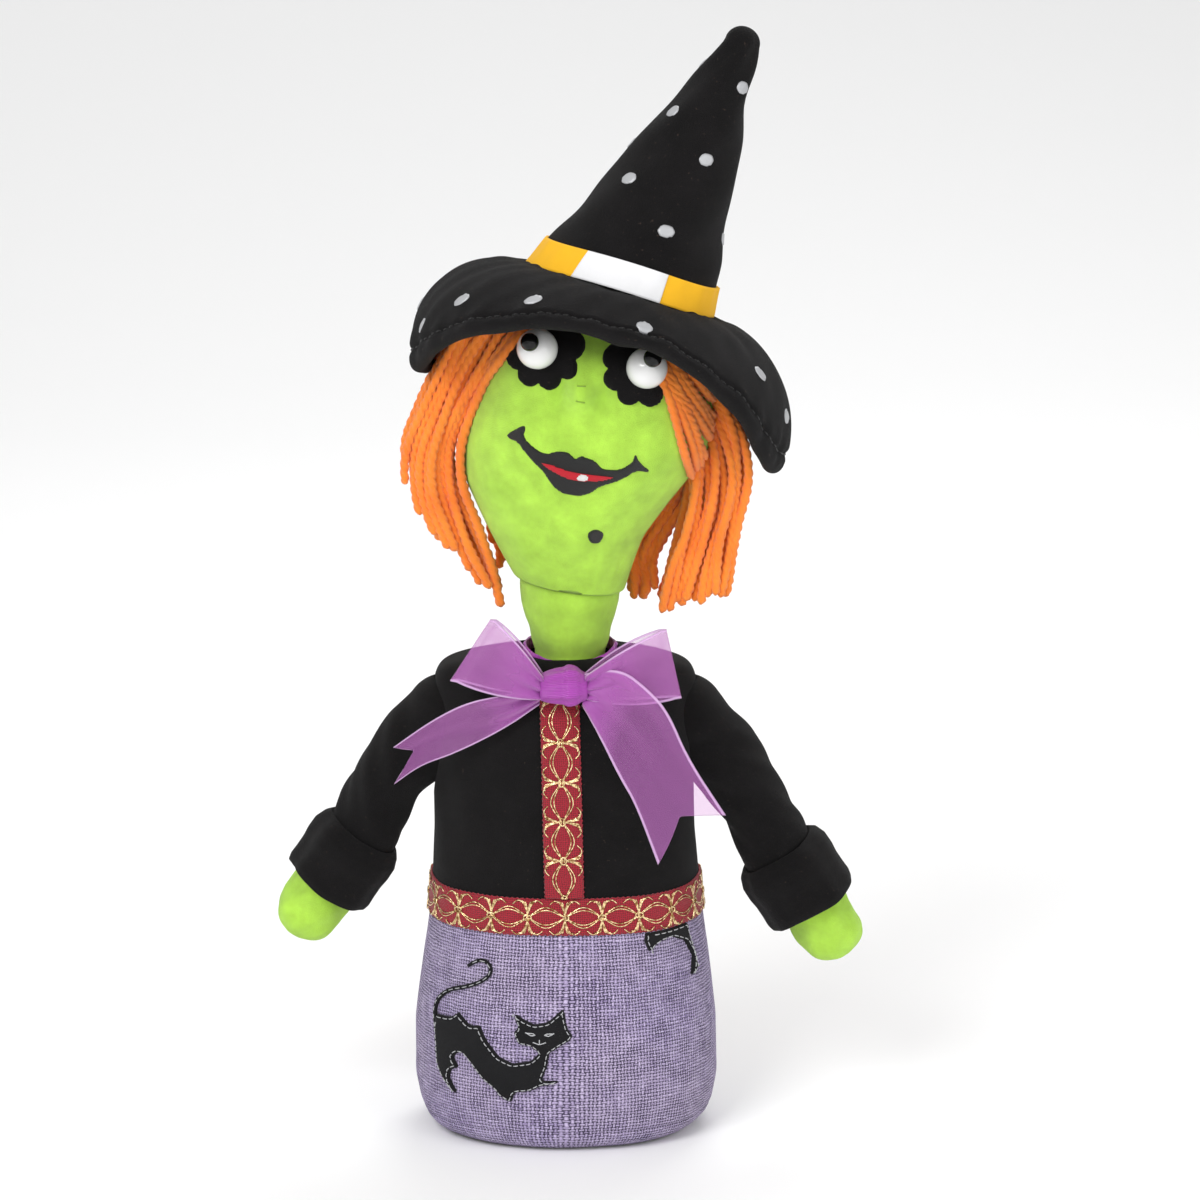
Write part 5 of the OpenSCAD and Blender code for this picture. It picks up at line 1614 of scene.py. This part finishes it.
def build_stage():
    """A pale floor that curves up into a backdrop, soft lights and the camera."""
    shape = Shape()
    run = np.concatenate([[[-4.0, 0.0]], [[1.2, 0.0]],
                          [[1.2 + 1.2 * math.sin(a), 1.2 - 1.2 * math.cos(a)] for a in np.linspace(0.1, PI / 2, 16)],
                          [[2.4, 4.0]]])
    x = np.linspace(-4, 4, 9)
    points = np.stack(np.broadcast_arrays(x[None], run[:, :1], run[:, 1:2] - 0.00005), -1) / MM
    shape.grid(points)
    made, n, p = material("pale floor", (0.93, 0.93, 0.93), 0.9)
    floor = shape.made("floor", [made])

    world = bpy.data.worlds.new("studio")
    world.use_nodes = True
    bpy.context.scene.world = world
    world.node_tree.nodes["Background"].inputs["Color"].default_value = (1, 1, 1, 1)
    world.node_tree.nodes["Background"].inputs["Strength"].default_value = 0.62

    middle = Vector((0.014, 0.0, 0.22))
    for name, place, power, size in (("key", (-0.75, -1.3, 1.35), 19.0, 0.8), ("fill", (1.25, -1.1, 0.8), 7.5, 1.2),
                                     ("rim", (0.3, 1.0, 1.25), 8.0, 0.8), ("low", (0.0, -1.5, 0.15), 2.5, 1.0)):
        data = bpy.data.lights.new(name, "AREA")
        data.energy, data.size = power, size
        light = bpy.data.objects.new(name, data)
        bpy.context.collection.objects.link(light)
        light.location = place
        light.rotation_euler = (middle - Vector(place)).to_track_quat("-Z", "Y").to_euler()

    data = bpy.data.cameras.new("camera")
    data.sensor_width, data.lens = 36.0, 187.5
    data.clip_start, data.clip_end = 0.05, 20
    camera = bpy.data.objects.new("camera", data)
    bpy.context.collection.objects.link(camera)
    target = Vector((0.014, 0.0, 0.219))
    tilt = math.radians(15)
    camera.location = target + Vector((0, -2.5 * math.cos(tilt), 2.5 * math.sin(tilt)))
    camera.rotation_euler = (target - camera.location).to_track_quat("-Z", "Y").to_euler()
    bpy.context.scene.camera = camera
    bpy.context.scene.view_settings.view_transform = "Standard"


def build_inside():
    """Better finishes for the parts inside that stay as they are: lining, stuffing and the finger tube."""
    painted(grey_lining(), "glove_lining")
    painted(white_fibrefill(), "neck_stuffing", "hand_stuffing_left", "hand_stuffing_right")
    painted(tan_card(), "finger_tube")


# ---------- operators and panel ----------

class PUPPET_OT_stage(bpy.types.Operator):
    """Sets up the floor, lights and camera"""

    bl_idname = "puppet.stage"
    bl_label = "Stage"

    def execute(self, context):
        build_stage()
        return {"FINISHED"}


class PUPPET_OT_skirt(bpy.types.Operator):
    """Makes the burlap skirt"""

    bl_idname = "puppet.skirt"
    bl_label = "Skirt"

    def execute(self, context):
        build_skirt()
        return {"FINISHED"}


class PUPPET_OT_bodice(bpy.types.Operator):
    """Makes the felt bodice"""

    bl_idname = "puppet.bodice"
    bl_label = "Bodice"

    def execute(self, context):
        build_bodice()
        return {"FINISHED"}


class PUPPET_OT_trims(bpy.types.Operator):
    """Makes the braids and the cat cut-outs"""

    bl_idname = "puppet.trims"
    bl_label = "Braids and cats"

    def execute(self, context):
        build_braids()
        build_cats()
        return {"FINISHED"}


class PUPPET_OT_arms(bpy.types.Operator):
    """Makes both sleeves, cuffs and hands"""

    bl_idname = "puppet.arms"
    bl_label = "Arms"

    def execute(self, context):
        build_arm(-1)
        build_arm(1)
        return {"FINISHED"}


class PUPPET_OT_neck(bpy.types.Operator):
    """Makes the neck"""

    bl_idname = "puppet.neck"
    bl_label = "Neck"

    def execute(self, context):
        build_neck()
        return {"FINISHED"}


class PUPPET_OT_bow(bpy.types.Operator):
    """Makes the neck ribbon and its bow"""

    bl_idname = "puppet.bow"
    bl_label = "Bow"

    def execute(self, context):
        build_bow()
        return {"FINISHED"}


class PUPPET_OT_head(bpy.types.Operator):
    """Makes the head and its face"""

    bl_idname = "puppet.head"
    bl_label = "Head and face"

    def execute(self, context):
        build_head()
        build_face()
        return {"FINISHED"}


class PUPPET_OT_hair(bpy.types.Operator):
    """Makes the yarn hair"""

    bl_idname = "puppet.hair"
    bl_label = "Hair"

    def execute(self, context):
        build_hair()
        return {"FINISHED"}


class PUPPET_OT_hat(bpy.types.Operator):
    """Makes the hat with its band and spots"""

    bl_idname = "puppet.hat"
    bl_label = "Hat"

    def execute(self, context):
        build_hat()
        return {"FINISHED"}


class PUPPET_OT_inside(bpy.types.Operator):
    """Finishes the lining, stuffing and finger tube"""

    bl_idname = "puppet.inside"
    bl_label = "Inside"

    def execute(self, context):
        build_inside()
        return {"FINISHED"}


OPERATORS = (PUPPET_OT_stage, PUPPET_OT_skirt, PUPPET_OT_bodice, PUPPET_OT_trims, PUPPET_OT_arms, PUPPET_OT_neck,
             PUPPET_OT_bow, PUPPET_OT_head, PUPPET_OT_hair, PUPPET_OT_hat, PUPPET_OT_inside)


class PUPPET_PT_panel(bpy.types.Panel):
    """The puppet's pieces, sizes and colours"""

    bl_idname = "PUPPET_PT_panel"
    bl_label = "Puppet"
    bl_space_type = "VIEW_3D"
    bl_region_type = "UI"
    bl_category = "Puppet"

    def draw(self, context):
        for operator in OPERATORS:
            self.layout.operator(operator.bl_idname)
        for group in (context.scene.puppet_sizes, context.scene.puppet_colours):
            box = self.layout.box()
            for name in group.__annotations__:
                box.prop(group, name)


CLASSES = (PuppetSizes, PuppetColours) + OPERATORS + (PUPPET_PT_panel,)


def register():
    """Adds the classes and the scene's properties."""
    for item in CLASSES:
        bpy.utils.register_class(item)
    bpy.types.Scene.puppet_sizes = bpy.props.PointerProperty(type=PuppetSizes)
    bpy.types.Scene.puppet_colours = bpy.props.PointerProperty(type=PuppetColours)


def unregister():
    """Takes them away again."""
    del bpy.types.Scene.puppet_sizes
    del bpy.types.Scene.puppet_colours
    for item in reversed(CLASSES):
        bpy.utils.unregister_class(item)


def main():
    """Builds everything."""
    register()
    bpy.ops.puppet.stage()
    bpy.ops.puppet.skirt()
    bpy.ops.puppet.bodice()
    bpy.ops.puppet.trims()
    bpy.ops.puppet.arms()
    bpy.ops.puppet.neck()
    bpy.ops.puppet.bow()
    bpy.ops.puppet.head()
    bpy.ops.puppet.hair()
    bpy.ops.puppet.hat()
    bpy.ops.puppet.inside()


if __name__ == "__main__":
    main()
